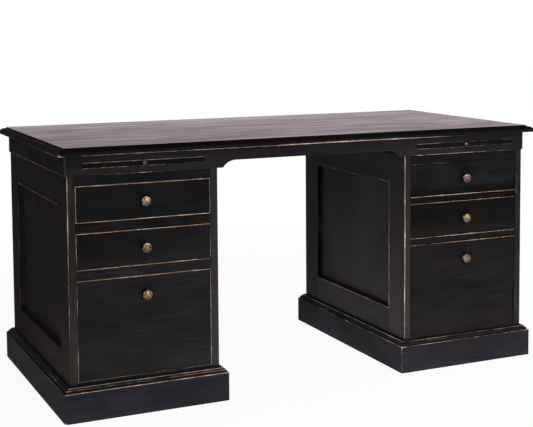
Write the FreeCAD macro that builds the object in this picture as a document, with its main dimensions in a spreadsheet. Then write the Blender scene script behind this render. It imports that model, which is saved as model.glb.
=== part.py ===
"""Partners' pedestal desk: a top case on two pedestals, with drawers and a cupboard for each of two sitters.

Millimetres, +Z up. The origin is on the floor under the middle of the desk, +X runs along its length and
-Y is the front. The desk has two-fold symmetry about Z: what stands at the front left stands again, turned
half round, at the rear right, so most pieces are made twice, with a turn of 0 and of 180 degrees.
"""
import FreeCAD, Part
import math
import os

import Sketcher

DIMENSIONS = {
    # overall
    "desk_height": 780,
    "top_length": 1600,
    "top_depth": 800,
    # top: a field board inside a moulded edging
    "top_thickness": 22,
    "field_step": 4,
    "edging_width": 20,
    "ovolo_radius": 16,
    # frieze case under the top
    "end_overhang": 26,
    "face_overhang": 30,
    "frieze_height": 60,
    "frieze_thickness": 20,
    "apron_rise": 21,
    "bracket_foot": 18,
    "bracket_run": 40,
    # pull-out slides in the frieze
    "slide_width": 364,
    "slide_back_space": 15,
    "slide_thickness": 17,
    "slide_lift": 20,
    "slide_side_gap": 1,
    "slide_top_gap": 0.7,
    "slide_batten_depth": 20,
    "slide_batten_setback": 40,
    "slide_stop_width": 20,
    # pedestals
    "case_end_reveal": 4,
    "case_face_reveal": 3,
    "pedestal_width": 450,
    "side_thickness": 22,
    "top_board_thickness": 27,
    "base_board_thickness": 22,
    "base_board_reveal": 6,
    "divider_thickness": 18,
    "rail_height": 27,
    "rail_depth": 45,
    "dust_board_thickness": 12,
    "shallow_opening": 108,
    # sunk panels in the pedestal sides
    "panel_stile": 103,
    "panel_top_rail": 94,
    "panel_bottom_rail": 84,
    "panel_step_width": 5,
    "panel_step_depth": 9,
    "panel_depth": 16,
    # plinth
    "plinth_face_height": 86,
    "plinth_projection": 23,
    "plinth_mould_height": 16,
    "plinth_ledge": 6,
    "plinth_fillet": 3,
    # drawers
    "front_thickness": 20,
    "front_gap": 1.5,
    "box_side_gap": 1,
    "box_back_space": 18,
    "box_wall": 10,
    "box_bottom": 6,
    "box_bottom_lift": 6,
    "box_headroom": 12,
    "deep_knob_drop": 56,
    # doors
    "door_thickness": 20,
    "dummy_rail_height": 21,
    "dummy_rail_depth": 2.5,
    "dummy_rail_rise": 2,
    # knobs
    "knob_head_radius": 14,
    "knob_projection": 26,
    "knob_dome": 9,
    "knob_neck_radius": 5.5,
    "knob_rose_radius": 7.5,
    "knob_rose_thickness": 3,
    "knob_spigot_radius": 3,
    "knob_spigot_length": 14,
    "slide_knob_head_radius": 6.2,
    "slide_knob_projection": 13,
    "slide_knob_dome": 4.5,
    "slide_knob_neck_radius": 2.4,
    "slide_knob_rose_radius": 3.8,
    "slide_knob_rose_thickness": 1.5,
    "slide_knob_spigot_radius": 1.8,
    "slide_knob_spigot_length": 12,
    "spigot_clearance": 0.1,
    "spigot_end_space": 2,
    # butt hinges
    "hinge_length": 75,
    "hinge_end_distance": 48,
    "hinge_gap": 1.6,
    "leaf_thickness": 1.6,
    "leaf_gap": 0.3,
    "leaf_width": 22,
    "knuckle_radius": 4,
    "knuckle_standoff": 0.3,
    "knuckle_end_gap": 0.3,
    "pin_radius": 2,
    "pin_clearance": 0.05,
    "pin_head_radius": 3,
    "pin_head_height": 2,
    # running clearance under drawers and slides, and above the slides' battens
    "running_gap": 0.3,
}

KNUCKLES = 5
CUT_OVERSHOOT = 1


class Size:
    """A length in millimetres that carries the spreadsheet expression it comes from."""

    def __init__(self, text, value):
        self.text = text
        self.value = value

    @staticmethod
    def of(number):
        return number if isinstance(number, Size) else Size(f"{number:g}", number)

    def __add__(self, other):
        other = Size.of(other)
        return Size(f"({self.text} + {other.text})", self.value + other.value)

    def __sub__(self, other):
        other = Size.of(other)
        return Size(f"({self.text} - {other.text})", self.value - other.value)

    def __mul__(self, other):
        other = Size.of(other)
        return Size(f"({self.text} * {other.text})", self.value * other.value)

    def __truediv__(self, other):
        other = Size.of(other)
        return Size(f"({self.text} / {other.text})", self.value / other.value)

    def __neg__(self):
        return Size(f"(0 - {self.text})", -self.value)

    __radd__ = __add__
    __rmul__ = __mul__

    def __rsub__(self, other):
        return Size.of(other) - self


doc = FreeCAD.newDocument("partners_desk")
sheet = doc.addObject("Spreadsheet::Sheet", "dims")
for row, (alias, number) in enumerate(DIMENSIONS.items(), start=1):
    sheet.set(f"A{row}", alias)
    sheet.set(f"B{row}", f"{number}")
    sheet.setAlias(f"B{row}", alias)
doc.recompute()
d = {alias: Size(f"dims.{alias}", sheet.get(alias)) for alias in DIMENSIONS}

# Heights
top_underside = d["desk_height"] - d["top_thickness"]
edging_top = d["desk_height"] - d["field_step"]
case_underside = top_underside - d["frieze_height"]
slide_bottom = case_underside + d["slide_lift"]
slide_top = slide_bottom + d["slide_thickness"]
slide_centre = slide_bottom + d["slide_thickness"] / 2
opening_top = case_underside - d["top_board_thickness"]
plinth_top = d["plinth_face_height"] + d["plinth_mould_height"]
opening_bottom = plinth_top + d["base_board_reveal"]
upper_rail_top = opening_top - d["shallow_opening"]
upper_rail_bottom = upper_rail_top - d["rail_height"]
lower_rail_top = upper_rail_bottom - d["shallow_opening"]
lower_rail_bottom = lower_rail_top - d["rail_height"]

# Distances from the middle of the desk
case_face = d["top_depth"] / 2 - d["face_overhang"]
case_inside = case_face - d["frieze_thickness"]
case_end = d["top_length"] / 2 - d["end_overhang"]
pedestal_face = case_face - d["case_face_reveal"]
pedestal_outer = case_end - d["case_end_reveal"]
pedestal_inner = pedestal_outer - d["pedestal_width"]
opening_outer = pedestal_outer - d["side_thickness"]
opening_inner = pedestal_inner + d["side_thickness"]
pedestal_middle = (pedestal_outer + pedestal_inner) / 2
opening_width = opening_outer - opening_inner

parts = {}


def keep(label, piece):
    """Registers a finished sub-part under the name of its file."""
    piece.Label = label
    parts[label] = piece
    return piece


def bind(item, name, size):
    """Ties a property to its expression."""
    item.setExpression(name, Size.of(size).text)


def place(item, x=0, y=0, z=0, turn=0):
    """Puts a piece at x, y, z, turned by whole degrees about Z."""
    item.Placement = FreeCAD.Placement(
        FreeCAD.Vector(0, 0, 0), FreeCAD.Rotation(FreeCAD.Vector(0, 0, 1), turn)
    )
    bind(item, "Placement.Base.x", x)
    bind(item, "Placement.Base.y", y)
    bind(item, "Placement.Base.z", z)


def turned(turn, *lengths):
    """Lengths along X or Y as they are after a turn of 0 or 180 degrees about Z."""
    sign = 1 if turn == 0 else -1
    return [Size.of(length) * sign for length in lengths]


def board(name, low, high, turn=0):
    """A plain rectangular board between two corners, turned about the desk's middle."""
    item = doc.addObject("Part::Box", name)
    for side, start, end in zip(("Length", "Width", "Height"), low, high):
        bind(item, side, Size.of(end) - start)
    x, y = turned(turn, low[0], low[1])
    place(item, x, y, low[2], turn)
    return item


def rod(name, radius, z, height):
    """An upright cylinder on its own axis, from z up."""
    item = doc.addObject("Part::Cylinder", name)
    bind(item, "Radius", radius)
    bind(item, "Height", height)
    place(item, 0, 0, z)
    return item


def new_body(name):
    return doc.addObject("PartDesign::Body", name)


def sketch_on(body, role, offset=0):
    """An empty sketch on one of the body's own origin planes, moved along that plane's normal."""
    sketch = body.newObject("Sketcher::SketchObject", "Sketch")
    plane = [feature for feature in body.Origin.OriginFeatures if feature.Role == role][0]
    sketch.AttachmentSupport = [(plane, "")]
    sketch.MapMode = "FlatFace"
    bind(sketch, "AttachmentOffset.Base.z", offset)
    return sketch


def hold(sketch, kind, size, *where):
    """Adds a dimension to the sketch and ties it to its expression."""
    size = Size.of(size)
    number = sketch.addConstraint(Sketcher.Constraint(kind, *where, size.value))
    sketch.setExpression(f"Constraints[{number}]", size.text)


def hold_point(sketch, edge, end, point):
    hold(sketch, "DistanceX", point[0], -1, 1, edge, end)
    hold(sketch, "DistanceY", point[1], -1, 1, edge, end)


def arc_between(start, end, radius, left):
    """The short arc from start to end with its centre to the left, or else to the right, of the way."""
    a = FreeCAD.Vector(Size.of(start[0]).value, Size.of(start[1]).value, 0)
    b = FreeCAD.Vector(Size.of(end[0]).value, Size.of(end[1]).value, 0)
    chord = b - a
    across = FreeCAD.Vector(-chord.y, chord.x, 0).normalize()
    reach = math.sqrt(max(Size.of(radius).value ** 2 - chord.Length ** 2 / 4, 0))
    centre = (a + b) / 2 + across * (reach if left else -reach)
    first, last = (a, b) if left else (b, a)
    angles = [math.atan2(p.y - centre.y, p.x - centre.x) for p in (first, last)]
    circle = Part.Circle(centre, FreeCAD.Vector(0, 0, 1), Size.of(radius).value)
    return Part.ArcOfCircle(circle, *angles)


def outline(sketch, *corners):
    """A closed outline. A corner (u, v) is reached by a line, and (u, v, radius, left) by an arc."""
    first = sketch.GeometryCount
    ends = []
    for number, corner in enumerate(corners):
        start = corners[number - 1]
        if len(corner) == 2:
            tail = FreeCAD.Vector(Size.of(start[0]).value, Size.of(start[1]).value, 0)
            head = FreeCAD.Vector(Size.of(corner[0]).value, Size.of(corner[1]).value, 0)
            sketch.addGeometry(Part.LineSegment(tail, head))
            ends.append((1, 2))
        else:
            sketch.addGeometry(arc_between(start, corner, corner[2], corner[3]))
            ends.append((1, 2) if corner[3] else (2, 1))
    for number in range(len(corners)):
        after = (number + 1) % len(corners)
        sketch.addConstraint(
            Sketcher.Constraint(
                "Coincident", first + number, ends[number][1], first + after, ends[after][0]
            )
        )
    for number, corner in enumerate(corners):
        hold_point(sketch, first + number, ends[number][1], corner)
        if len(corner) > 2:
            hold(sketch, "Radius", corner[2], first + number)


def rectangle(sketch, u_low, v_low, u_high, v_high):
    outline(sketch, (u_low, v_low), (u_high, v_low), (u_high, v_high), (u_low, v_high))


def circle(sketch, u, v, radius):
    centre = FreeCAD.Vector(Size.of(u).value, Size.of(v).value, 0)
    edge = sketch.addGeometry(
        Part.Circle(centre, FreeCAD.Vector(0, 0, 1), Size.of(radius).value)
    )
    hold_point(sketch, edge, 3, (u, v))
    hold(sketch, "Radius", radius, edge)


def pad(body, sketch, length, backwards=False, centred=False):
    feature = body.newObject("PartDesign::Pad", "Pad")
    feature.Profile = sketch
    bind(feature, "Length", length)
    feature.Reversed = backwards
    if centred:
        feature.SideType = "Symmetric"
    return feature


def pocket(body, sketch, depth=None, forwards=False):
    """Cuts the sketch against its normal, or along it if forwards, right through if no depth is given."""
    feature = body.newObject("PartDesign::Pocket", "Pocket")
    feature.Profile = sketch
    feature.Reversed = forwards
    if depth is None:
        feature.Type = "ThroughAll"
    else:
        bind(feature, "Length", depth)
    return feature


def group(label, pieces):
    """Several separate solids under one name."""
    item = doc.addObject("Part::Compound", label)
    item.Links = pieces
    return keep(label, item)


def top_field():
    """The flat writing surface, inside the edging."""
    half_length = d["top_length"] / 2 - d["edging_width"]
    half_depth = d["top_depth"] / 2 - d["edging_width"]
    low = (-half_length, -half_depth, top_underside)
    high = (half_length, half_depth, d["desk_height"])
    keep("top_field", board("TopField", low, high))


def edge_moulding(label, run, across, turn):
    """One mitred length of edging: a small flat, then a quarter round down to a sharp lower edge."""
    body = new_body("EdgeMoulding")
    outside = -across / 2
    inside = outside + d["edging_width"]
    radius = d["ovolo_radius"]
    profile = sketch_on(body, "YZ_Plane")
    outline(
        profile,
        (inside, top_underside),
        (inside, edging_top),
        (outside + radius, edging_top),
        (outside, edging_top - radius, radius, True),
        (outside, top_underside),
    )
    pad(body, profile, run, centred=True)
    for sign in (-1, 1):
        mitre = sketch_on(body, "XY_Plane", d["desk_height"])
        end = run / 2 * sign
        past = CUT_OVERSHOOT * sign
        foot = run / 2 * sign - d["edging_width"] * sign
        outline(
            mitre,
            (end + past, outside - CUT_OVERSHOOT),
            (end + past, inside + CUT_OVERSHOOT),
            (foot - past, inside + CUT_OVERSHOOT),
        )
        pocket(body, mitre)
    place(body, turn=turn)
    keep(label, body)


def frieze_long(label, turn):
    """The long frieze board: two slide slots, and a kneehole apron that ends in two curved brackets."""
    body = new_body("FriezeLong")
    face = sketch_on(body, "XZ_Plane", case_face)
    apron = case_underside + d["apron_rise"]
    foot = pedestal_inner - d["bracket_foot"]
    curve_top = foot - d["bracket_run"]
    run, rise = d["bracket_run"], d["apron_rise"]
    radius = (run * run + rise * rise) / (2 * rise)
    outline(
        face,
        (-case_end, top_underside),
        (-case_end, case_underside),
        (-foot, case_underside),
        (-curve_top, apron, radius, False),
        (curve_top, apron),
        (foot, case_underside, radius, False),
        (case_end, case_underside),
        (case_end, top_underside),
    )
    half_slot = d["slide_width"] / 2 + d["slide_side_gap"]
    for sign in (-1, 1):
        middle = pedestal_middle * sign
        rectangle(
            face,
            middle - half_slot,
            slide_bottom - d["running_gap"],
            middle + half_slot,
            slide_top + d["slide_top_gap"],
        )
    pad(body, face, d["frieze_thickness"], backwards=True)
    place(body, turn=turn)
    keep(label, body)


def frieze_end(label, turn):
    """The short frieze board between the two long ones."""
    low = (-case_end, -case_inside, case_underside)
    high = (d["frieze_thickness"] - case_end, case_inside, top_underside)
    keep(label, board("FriezeEnd", low, high, turn))


def slide_bed(label, turn):
    """The grooved bed over a pedestal that carries one slide from each side, with a stop between them."""
    body = new_body("SlideBed")
    plan = sketch_on(body, "XY_Plane", case_underside)
    outer = d["frieze_thickness"] - case_end
    rectangle(plan, outer, -case_inside, -pedestal_inner, case_inside)
    pad(body, plan, d["frieze_height"])
    grooves = sketch_on(body, "XY_Plane", top_underside)
    half_slot = d["slide_width"] / 2 + d["slide_side_gap"]
    stop = d["slide_stop_width"] / 2
    left = -pedestal_middle - half_slot
    right = -pedestal_middle + half_slot
    rectangle(grooves, left, -case_inside - CUT_OVERSHOOT, right, -stop)
    rectangle(grooves, left, stop, right, case_inside + CUT_OVERSHOOT)
    pocket(body, grooves, top_underside - slide_bottom + d["running_gap"])
    place(body, turn=turn)
    keep(label, body)


def slide(label, x, turn):
    """A pull-out slide: a thin board with a batten on top that stops it and keeps it level."""
    body = new_body("Slide")
    half = d["slide_width"] / 2
    back = -d["slide_stop_width"] / 2 - d["slide_back_space"]
    plan = sketch_on(body, "XY_Plane", slide_bottom)
    rectangle(plan, -half, -case_face, half, back)
    pad(body, plan, d["slide_thickness"])
    batten_back = back - d["slide_batten_setback"]
    batten = sketch_on(body, "XY_Plane", slide_top)
    rectangle(batten, -half, batten_back - d["slide_batten_depth"], half, batten_back)
    pad(body, batten, top_underside - slide_top - d["running_gap"])
    bore = sketch_on(body, "XZ_Plane", case_face)
    circle(bore, 0, slide_centre, d["slide_knob_spigot_radius"] + d["spigot_clearance"])
    pocket(body, bore, d["slide_knob_spigot_length"] + d["spigot_end_space"])
    place(body, x, turn=turn)
    keep(label, body)


def knob_body(kind, x, y, z, turn):
    """A turned brass knob: spigot, rose, neck and domed head, with its axis along -Y from the rose."""
    body = new_body("Knob")
    head = d[f"{kind}_head_radius"]
    tip = d[f"{kind}_projection"]
    dome = d[f"{kind}_dome"]
    neck = d[f"{kind}_neck_radius"]
    rose = d[f"{kind}_rose_radius"]
    rose_face = d[f"{kind}_rose_thickness"]
    spigot = d[f"{kind}_spigot_radius"]
    spigot_end = d[f"{kind}_spigot_length"]
    rim = tip - dome
    dome_radius = (head * head + dome * dome) / (2 * dome)
    neck_end = rose_face + (rim - rose_face) / 2
    profile = sketch_on(body, "XY_Plane")
    outline(
        profile,
        (0, spigot_end),
        (0, -tip),
        (head, -rim, dome_radius, True),
        (neck, -neck_end),
        (neck, -rose_face),
        (rose, -rose_face),
        (rose, 0),
        (spigot, 0),
        (spigot, spigot_end),
    )
    turning = body.newObject("PartDesign::Revolution", "Turning")
    turning.Profile = profile
    turning.ReferenceAxis = (profile, ["V_Axis"])
    turning.Angle = 360
    place(body, x, y, z, turn)
    return body


def pedestal_side(label, outside, turn, hinged):
    """A framed side with one sunk panel; the outer side takes the hinges of the cupboard door."""
    body = new_body("PedestalSide")
    left = -pedestal_outer if outside else -opening_inner
    right = left + d["side_thickness"]
    blank = sketch_on(body, "YZ_Plane", left)
    rectangle(blank, -pedestal_face, 0, pedestal_face, case_underside)
    pad(body, blank, d["side_thickness"])
    half = pedestal_face - d["panel_stile"]
    low = plinth_top + d["panel_bottom_rail"]
    high = case_underside - d["panel_top_rail"]
    for inset, depth in (
        (Size.of(0), d["panel_step_depth"]),
        (d["panel_step_width"], d["panel_depth"]),
    ):
        panel = sketch_on(body, "YZ_Plane", left if outside else right)
        rectangle(panel, inset - half, low + inset, half - inset, high - inset)
        pocket(body, panel, depth, forwards=outside)
    if hinged:
        gains = sketch_on(body, "YZ_Plane", right)
        back = pedestal_face - d["leaf_width"]
        for z in hinge_heights():
            rectangle(gains, back, z, pedestal_face + CUT_OVERSHOOT, z + d["hinge_length"])
        pocket(body, gains, gain_depth())
    place(body, turn=turn)
    keep(label, body)


def hinge_heights():
    """The lower ends of the two hinges of a door."""
    lower = opening_bottom + d["hinge_end_distance"]
    upper = opening_top - d["hinge_end_distance"] - d["hinge_length"]
    return lower, upper


def gain_depth():
    """How deep each hinge leaf is let into its board, so that two leaves close in the hinge gap."""
    return d["leaf_thickness"] + d["leaf_gap"] / 2 - d["hinge_gap"] / 2


def drawer_rail(label, top, turn):
    """A rail between two drawers with the dust board behind it, flush on top."""
    body = new_body("DrawerRail")
    bottom = top - d["rail_height"]
    rail_back = d["rail_depth"] - pedestal_face
    dust_bottom = top - d["dust_board_thickness"]
    divider = -d["divider_thickness"] / 2
    section = sketch_on(body, "YZ_Plane", -opening_outer)
    outline(
        section,
        (-pedestal_face, top),
        (-pedestal_face, bottom),
        (rail_back, bottom),
        (rail_back, dust_bottom),
        (divider, dust_bottom),
        (divider, top),
    )
    pad(body, section, opening_width)
    place(body, turn=turn)
    keep(label, body)


def plinth(label, turn):
    """A mitred plinth round the pedestal: an upright face, a quarter-round moulding and a narrow ledge."""
    body = new_body("Plinth")
    path = sketch_on(body, "XY_Plane")
    rectangle(path, -pedestal_outer, -pedestal_face, -pedestal_inner, pedestal_face)
    section = sketch_on(body, "YZ_Plane", -pedestal_middle)
    inside = -pedestal_face
    outside = inside - d["plinth_projection"]
    ledge = inside - d["plinth_ledge"]
    fillet = plinth_top - d["plinth_fillet"]
    run = d["plinth_projection"] - d["plinth_ledge"]
    rise = d["plinth_mould_height"] - d["plinth_fillet"]
    radius = (run * run + rise * rise) / (2 * rise)
    outline(
        section,
        (inside, 0),
        (inside, plinth_top),
        (ledge, plinth_top),
        (ledge, fillet),
        (outside, d["plinth_face_height"], radius, True),
        (outside, 0),
    )
    ring = body.newObject("PartDesign::AdditivePipe", "Ring")
    ring.Profile = section
    ring.Spine = path
    ring.Transition = "Right corner"
    place(body, turn=turn)
    keep(label, body)


def pedestal(name, turn):
    """The fixed pieces of one pedestal, with drawers towards -Y and a cupboard towards +Y before the turn."""
    pedestal_side(f"{name}_pedestal_outer_side", True, turn, hinged=True)
    pedestal_side(f"{name}_pedestal_inner_side", False, turn, hinged=False)
    left, right = -opening_outer, -opening_inner
    low = (left, -pedestal_face, opening_top)
    high = (right, pedestal_face, case_underside)
    keep(f"{name}_pedestal_top_board", board("TopBoard", low, high, turn))
    low = (left, -pedestal_face, opening_bottom - d["base_board_thickness"])
    high = (right, pedestal_face, opening_bottom)
    keep(f"{name}_pedestal_base_board", board("BaseBoard", low, high, turn))
    half = d["divider_thickness"] / 2
    low = (left, -half, opening_bottom)
    high = (right, half, opening_top)
    keep(f"{name}_pedestal_centre_divider", board("CentreDivider", low, high, turn))
    drawer_rail(f"{name}_pedestal_upper_rail", upper_rail_top, turn)
    drawer_rail(f"{name}_pedestal_lower_rail", lower_rail_top, turn)
    plinth(f"{name}_pedestal_plinth", turn)


def drawer(name, bottom, top, knob_height, turn):
    """A drawer: an inset front, a box of two sides, back and raised bottom, and a knob."""
    face = new_body("DrawerFront")
    left = d["front_gap"] - opening_outer
    right = -opening_inner - d["front_gap"]
    sketch = sketch_on(face, "XZ_Plane", pedestal_face)
    rectangle(sketch, left, bottom + d["front_gap"], right, top - d["front_gap"])
    circle(sketch, -pedestal_middle, knob_height, d["knob_spigot_radius"] + d["spigot_clearance"])
    pad(face, sketch, d["front_thickness"], backwards=True)
    place(face, turn=turn)
    keep(f"{name}_front", face)

    box = new_body("DrawerBox")
    left = d["box_side_gap"] - opening_outer
    right = -opening_inner - d["box_side_gap"]
    start = d["front_thickness"] - pedestal_face
    end = -d["divider_thickness"] / 2 - d["box_back_space"]
    foot = bottom + d["running_gap"]
    rim = top - d["box_headroom"]
    plan = sketch_on(box, "XY_Plane", foot)
    rectangle(plan, left, start, right, end)
    pad(box, plan, rim - foot)
    wall = d["box_wall"]
    floor = foot + d["box_bottom_lift"] + d["box_bottom"]
    hollow = sketch_on(box, "XY_Plane", rim)
    rectangle(hollow, left + wall, start - CUT_OVERSHOOT, right - wall, end - wall)
    pocket(box, hollow, rim - floor)
    underside = sketch_on(box, "XY_Plane", foot)
    rectangle(underside, left + wall, start - CUT_OVERSHOOT, right - wall, end - wall)
    pocket(box, underside, d["box_bottom_lift"], forwards=True)
    place(box, turn=turn)
    keep(f"{name}_box", box)

    x, y = turned(turn, -pedestal_middle, -pedestal_face)
    keep(f"{name}_knob", knob_body("knob", x, y, knob_height, turn))


def drawers(name, turn):
    middle = upper_rail_top + d["shallow_opening"] / 2
    drawer(f"{name}_upper_drawer", upper_rail_top, opening_top, middle, turn)
    middle = lower_rail_top + d["shallow_opening"] / 2
    drawer(f"{name}_middle_drawer", lower_rail_top, upper_rail_bottom, middle, turn)
    knob_height = lower_rail_bottom - d["deep_knob_drop"]
    drawer(f"{name}_deep_drawer", opening_bottom, lower_rail_bottom, knob_height, turn)


def door(name, turn):
    """A cupboard door whose two sunk bands make it look like three drawer fronts, with its three knobs."""
    body = new_body("Door")
    left = opening_inner + d["front_gap"]
    right = opening_outer - d["hinge_gap"]
    bottom = opening_bottom + d["front_gap"]
    top = opening_top - d["front_gap"]
    band = d["dummy_rail_height"]
    lift = d["rail_height"] / 2 - band / 2 + d["dummy_rail_rise"]
    first = upper_rail_bottom + lift
    second = lower_rail_bottom + lift
    knob_heights = (
        (top + first + band) / 2,
        (first + second + band) / 2,
        second - d["deep_knob_drop"],
    )
    face = sketch_on(body, "XZ_Plane", pedestal_face)
    rectangle(face, left, bottom, right, top)
    for z in knob_heights:
        circle(face, pedestal_middle, z, d["knob_spigot_radius"] + d["spigot_clearance"])
    pad(body, face, d["door_thickness"], backwards=True)
    bands = sketch_on(body, "XZ_Plane", pedestal_face)
    for z in (first, second):
        rectangle(bands, left - CUT_OVERSHOOT, z, right + CUT_OVERSHOOT, z + band)
    pocket(body, bands, d["dummy_rail_depth"])
    gains = sketch_on(body, "YZ_Plane", right)
    back = d["leaf_width"] - pedestal_face
    for z in hinge_heights():
        rectangle(gains, -pedestal_face - CUT_OVERSHOOT, z, back, z + d["hinge_length"])
    pocket(body, gains, gain_depth())
    place(body, turn=turn)
    keep(name, body)

    x, y = turned(turn, pedestal_middle, -pedestal_face)
    group(f"{name}_knobs", [knob_body("knob", x, y, z, turn) for z in knob_heights])


def hinge_leaf(on_frame, z, turn):
    """One leaf with its knuckles; the leaf on the frame also holds the pin. The pin is the piece's own Z."""
    reach = d["knuckle_radius"] + d["knuckle_standoff"]
    near = d["leaf_gap"] / 2
    far = near + d["leaf_thickness"]
    if on_frame:
        x_low, x_high = near, far
    else:
        x_low, x_high = -far, -near
    pieces = [board("LeafPlate", (x_low, reach, 0), (x_high, reach + d["leaf_width"], d["hinge_length"]))]
    pitch = d["hinge_length"] / KNUCKLES
    for number in range(0 if on_frame else 1, KNUCKLES, 2):
        low = pitch * number + d["knuckle_end_gap"] / 2
        high = pitch * (number + 1) - d["knuckle_end_gap"] / 2
        pieces.append(rod("Knuckle", d["knuckle_radius"], low, high - low))
        pieces.append(board("KnuckleTab", (x_low, 0, low), (x_high, reach, high)))
    if on_frame:
        head = d["pin_head_height"]
        pieces.append(rod("Pin", d["pin_radius"], -head, d["hinge_length"] + 2 * head))
        pieces.append(rod("PinFoot", d["pin_head_radius"], -head, head + d["knuckle_end_gap"] / 2))
        pin_head = d["hinge_length"] - d["knuckle_end_gap"] / 2
        pieces.append(rod("PinHead", d["pin_head_radius"], pin_head, head + d["knuckle_end_gap"] / 2))
    leaf = doc.addObject("Part::MultiFuse", "Leaf")
    leaf.Shapes = pieces
    if not on_frame:
        bored = doc.addObject("Part::Cut", "BoredLeaf")
        bored.Base = leaf
        bored.Tool = rod("Bore", d["pin_radius"] + d["pin_clearance"], 0, d["hinge_length"])
        leaf = bored
    axis_x, axis_y = turned(turn, opening_outer - d["hinge_gap"] / 2, -pedestal_face - reach)
    place(leaf, axis_x, axis_y, z, turn)
    return leaf


top_field()
edge_moulding("edge_moulding_front", d["top_length"], d["top_depth"], 0)
edge_moulding("edge_moulding_rear", d["top_length"], d["top_depth"], 180)
edge_moulding("edge_moulding_right", d["top_depth"], d["top_length"], 90)
edge_moulding("edge_moulding_left", d["top_depth"], d["top_length"], 270)
frame_leaves = []
for side, other_side, face, angle in (("left", "right", "front", 0), ("right", "left", "rear", 180)):
    frieze_long(f"frieze_{face}", angle)
    frieze_end(f"frieze_{side}_end", angle)
    slide_bed(f"slide_bed_{side}", angle)
    pedestal(side, angle)
    drawers(face, angle)
    for slide_side, middle in ((side, -pedestal_middle), (other_side, pedestal_middle)):
        slide_x, knob_y = turned(angle, middle, -case_face)
        slide(f"{face}_{slide_side}_slide", slide_x, angle)
        knob = knob_body("slide_knob", slide_x, knob_y, slide_centre, angle)
        keep(f"{face}_{slide_side}_slide_knob", knob)
    door(f"{face}_door", angle)
    door_leaves = [hinge_leaf(False, z, angle) for z in hinge_heights()]
    group(f"{face}_door_hinge_leaves", door_leaves)
    frame_leaves += [hinge_leaf(True, z, angle) for z in hinge_heights()]
group("frame_hinge_leaves", frame_leaves)

doc.recompute()

for item in doc.Objects:
    if "Invalid" in item.State or "Error" in item.State:
        raise RuntimeError(f"{item.Label} did not compute: {item.State}")
os.makedirs("parts", exist_ok=True)
for label, piece in parts.items():
    if piece.Shape.isNull() or not piece.Shape.isValid():
        raise RuntimeError(f"{label} has no valid shape")
for label, piece in parts.items():
    piece.Shape.exportStep(f"parts/{label}.step")
print(len(parts), "pieces written")
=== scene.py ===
"""Looks of a partners' desk: black paint rubbed through at its arrises, a stained top, brass knobs.

The wooden pieces are skins worked out as whole arrays. A skin is made of grids of points, and each corner of
each face carries where it lies along the grain, how far it is from the arrises around it, and how thin the
paint is there. The materials read these to lay grain, rubbed edges and thin paint on the piece. Lengths are
in millimetres until a mesh is made.
"""
import math

import bpy
import numpy as np
from mathutils import Matrix


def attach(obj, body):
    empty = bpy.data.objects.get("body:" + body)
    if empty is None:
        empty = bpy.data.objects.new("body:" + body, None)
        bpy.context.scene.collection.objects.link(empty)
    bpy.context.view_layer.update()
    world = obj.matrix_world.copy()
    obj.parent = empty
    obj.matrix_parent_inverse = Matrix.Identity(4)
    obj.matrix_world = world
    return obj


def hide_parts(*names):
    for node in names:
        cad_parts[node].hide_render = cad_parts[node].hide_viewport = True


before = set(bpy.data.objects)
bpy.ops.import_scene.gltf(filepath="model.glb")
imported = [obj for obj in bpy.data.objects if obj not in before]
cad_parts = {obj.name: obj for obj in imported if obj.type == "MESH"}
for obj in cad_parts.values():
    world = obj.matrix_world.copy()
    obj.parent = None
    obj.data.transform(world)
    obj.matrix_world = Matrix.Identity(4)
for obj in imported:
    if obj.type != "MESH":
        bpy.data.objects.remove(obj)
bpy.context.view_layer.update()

MM = 0.001
# A wear offset is added to the way to an arris: -0.5 leaves the arris bare from end to end, 0 to 1 rubs it to
# a line, 2 to 3 to faint dashes, and from 5 on the paint stays.
KEPT = 3.6                                     # paint hardly ever rubbed through
FAR = 900.0                                    # paint never rubbed through
UNTOUCHED = {"rest": FAR}
ARRIS = 1.2                                    # the usual rounding of an arris
ARC = np.radians([45.0, 22.5, 0.0])            # the angles over half a rounded arris
UNIT = np.eye(3)
SIDE_OF = {(0, -1): "left", (0, 1): "right", (1, -1): "front", (1, 1): "back",
           (2, -1): "bottom", (2, 1): "top"}           # the faces of a board, by axis and direction


# ---------------------------------------------------------------- skins

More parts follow.
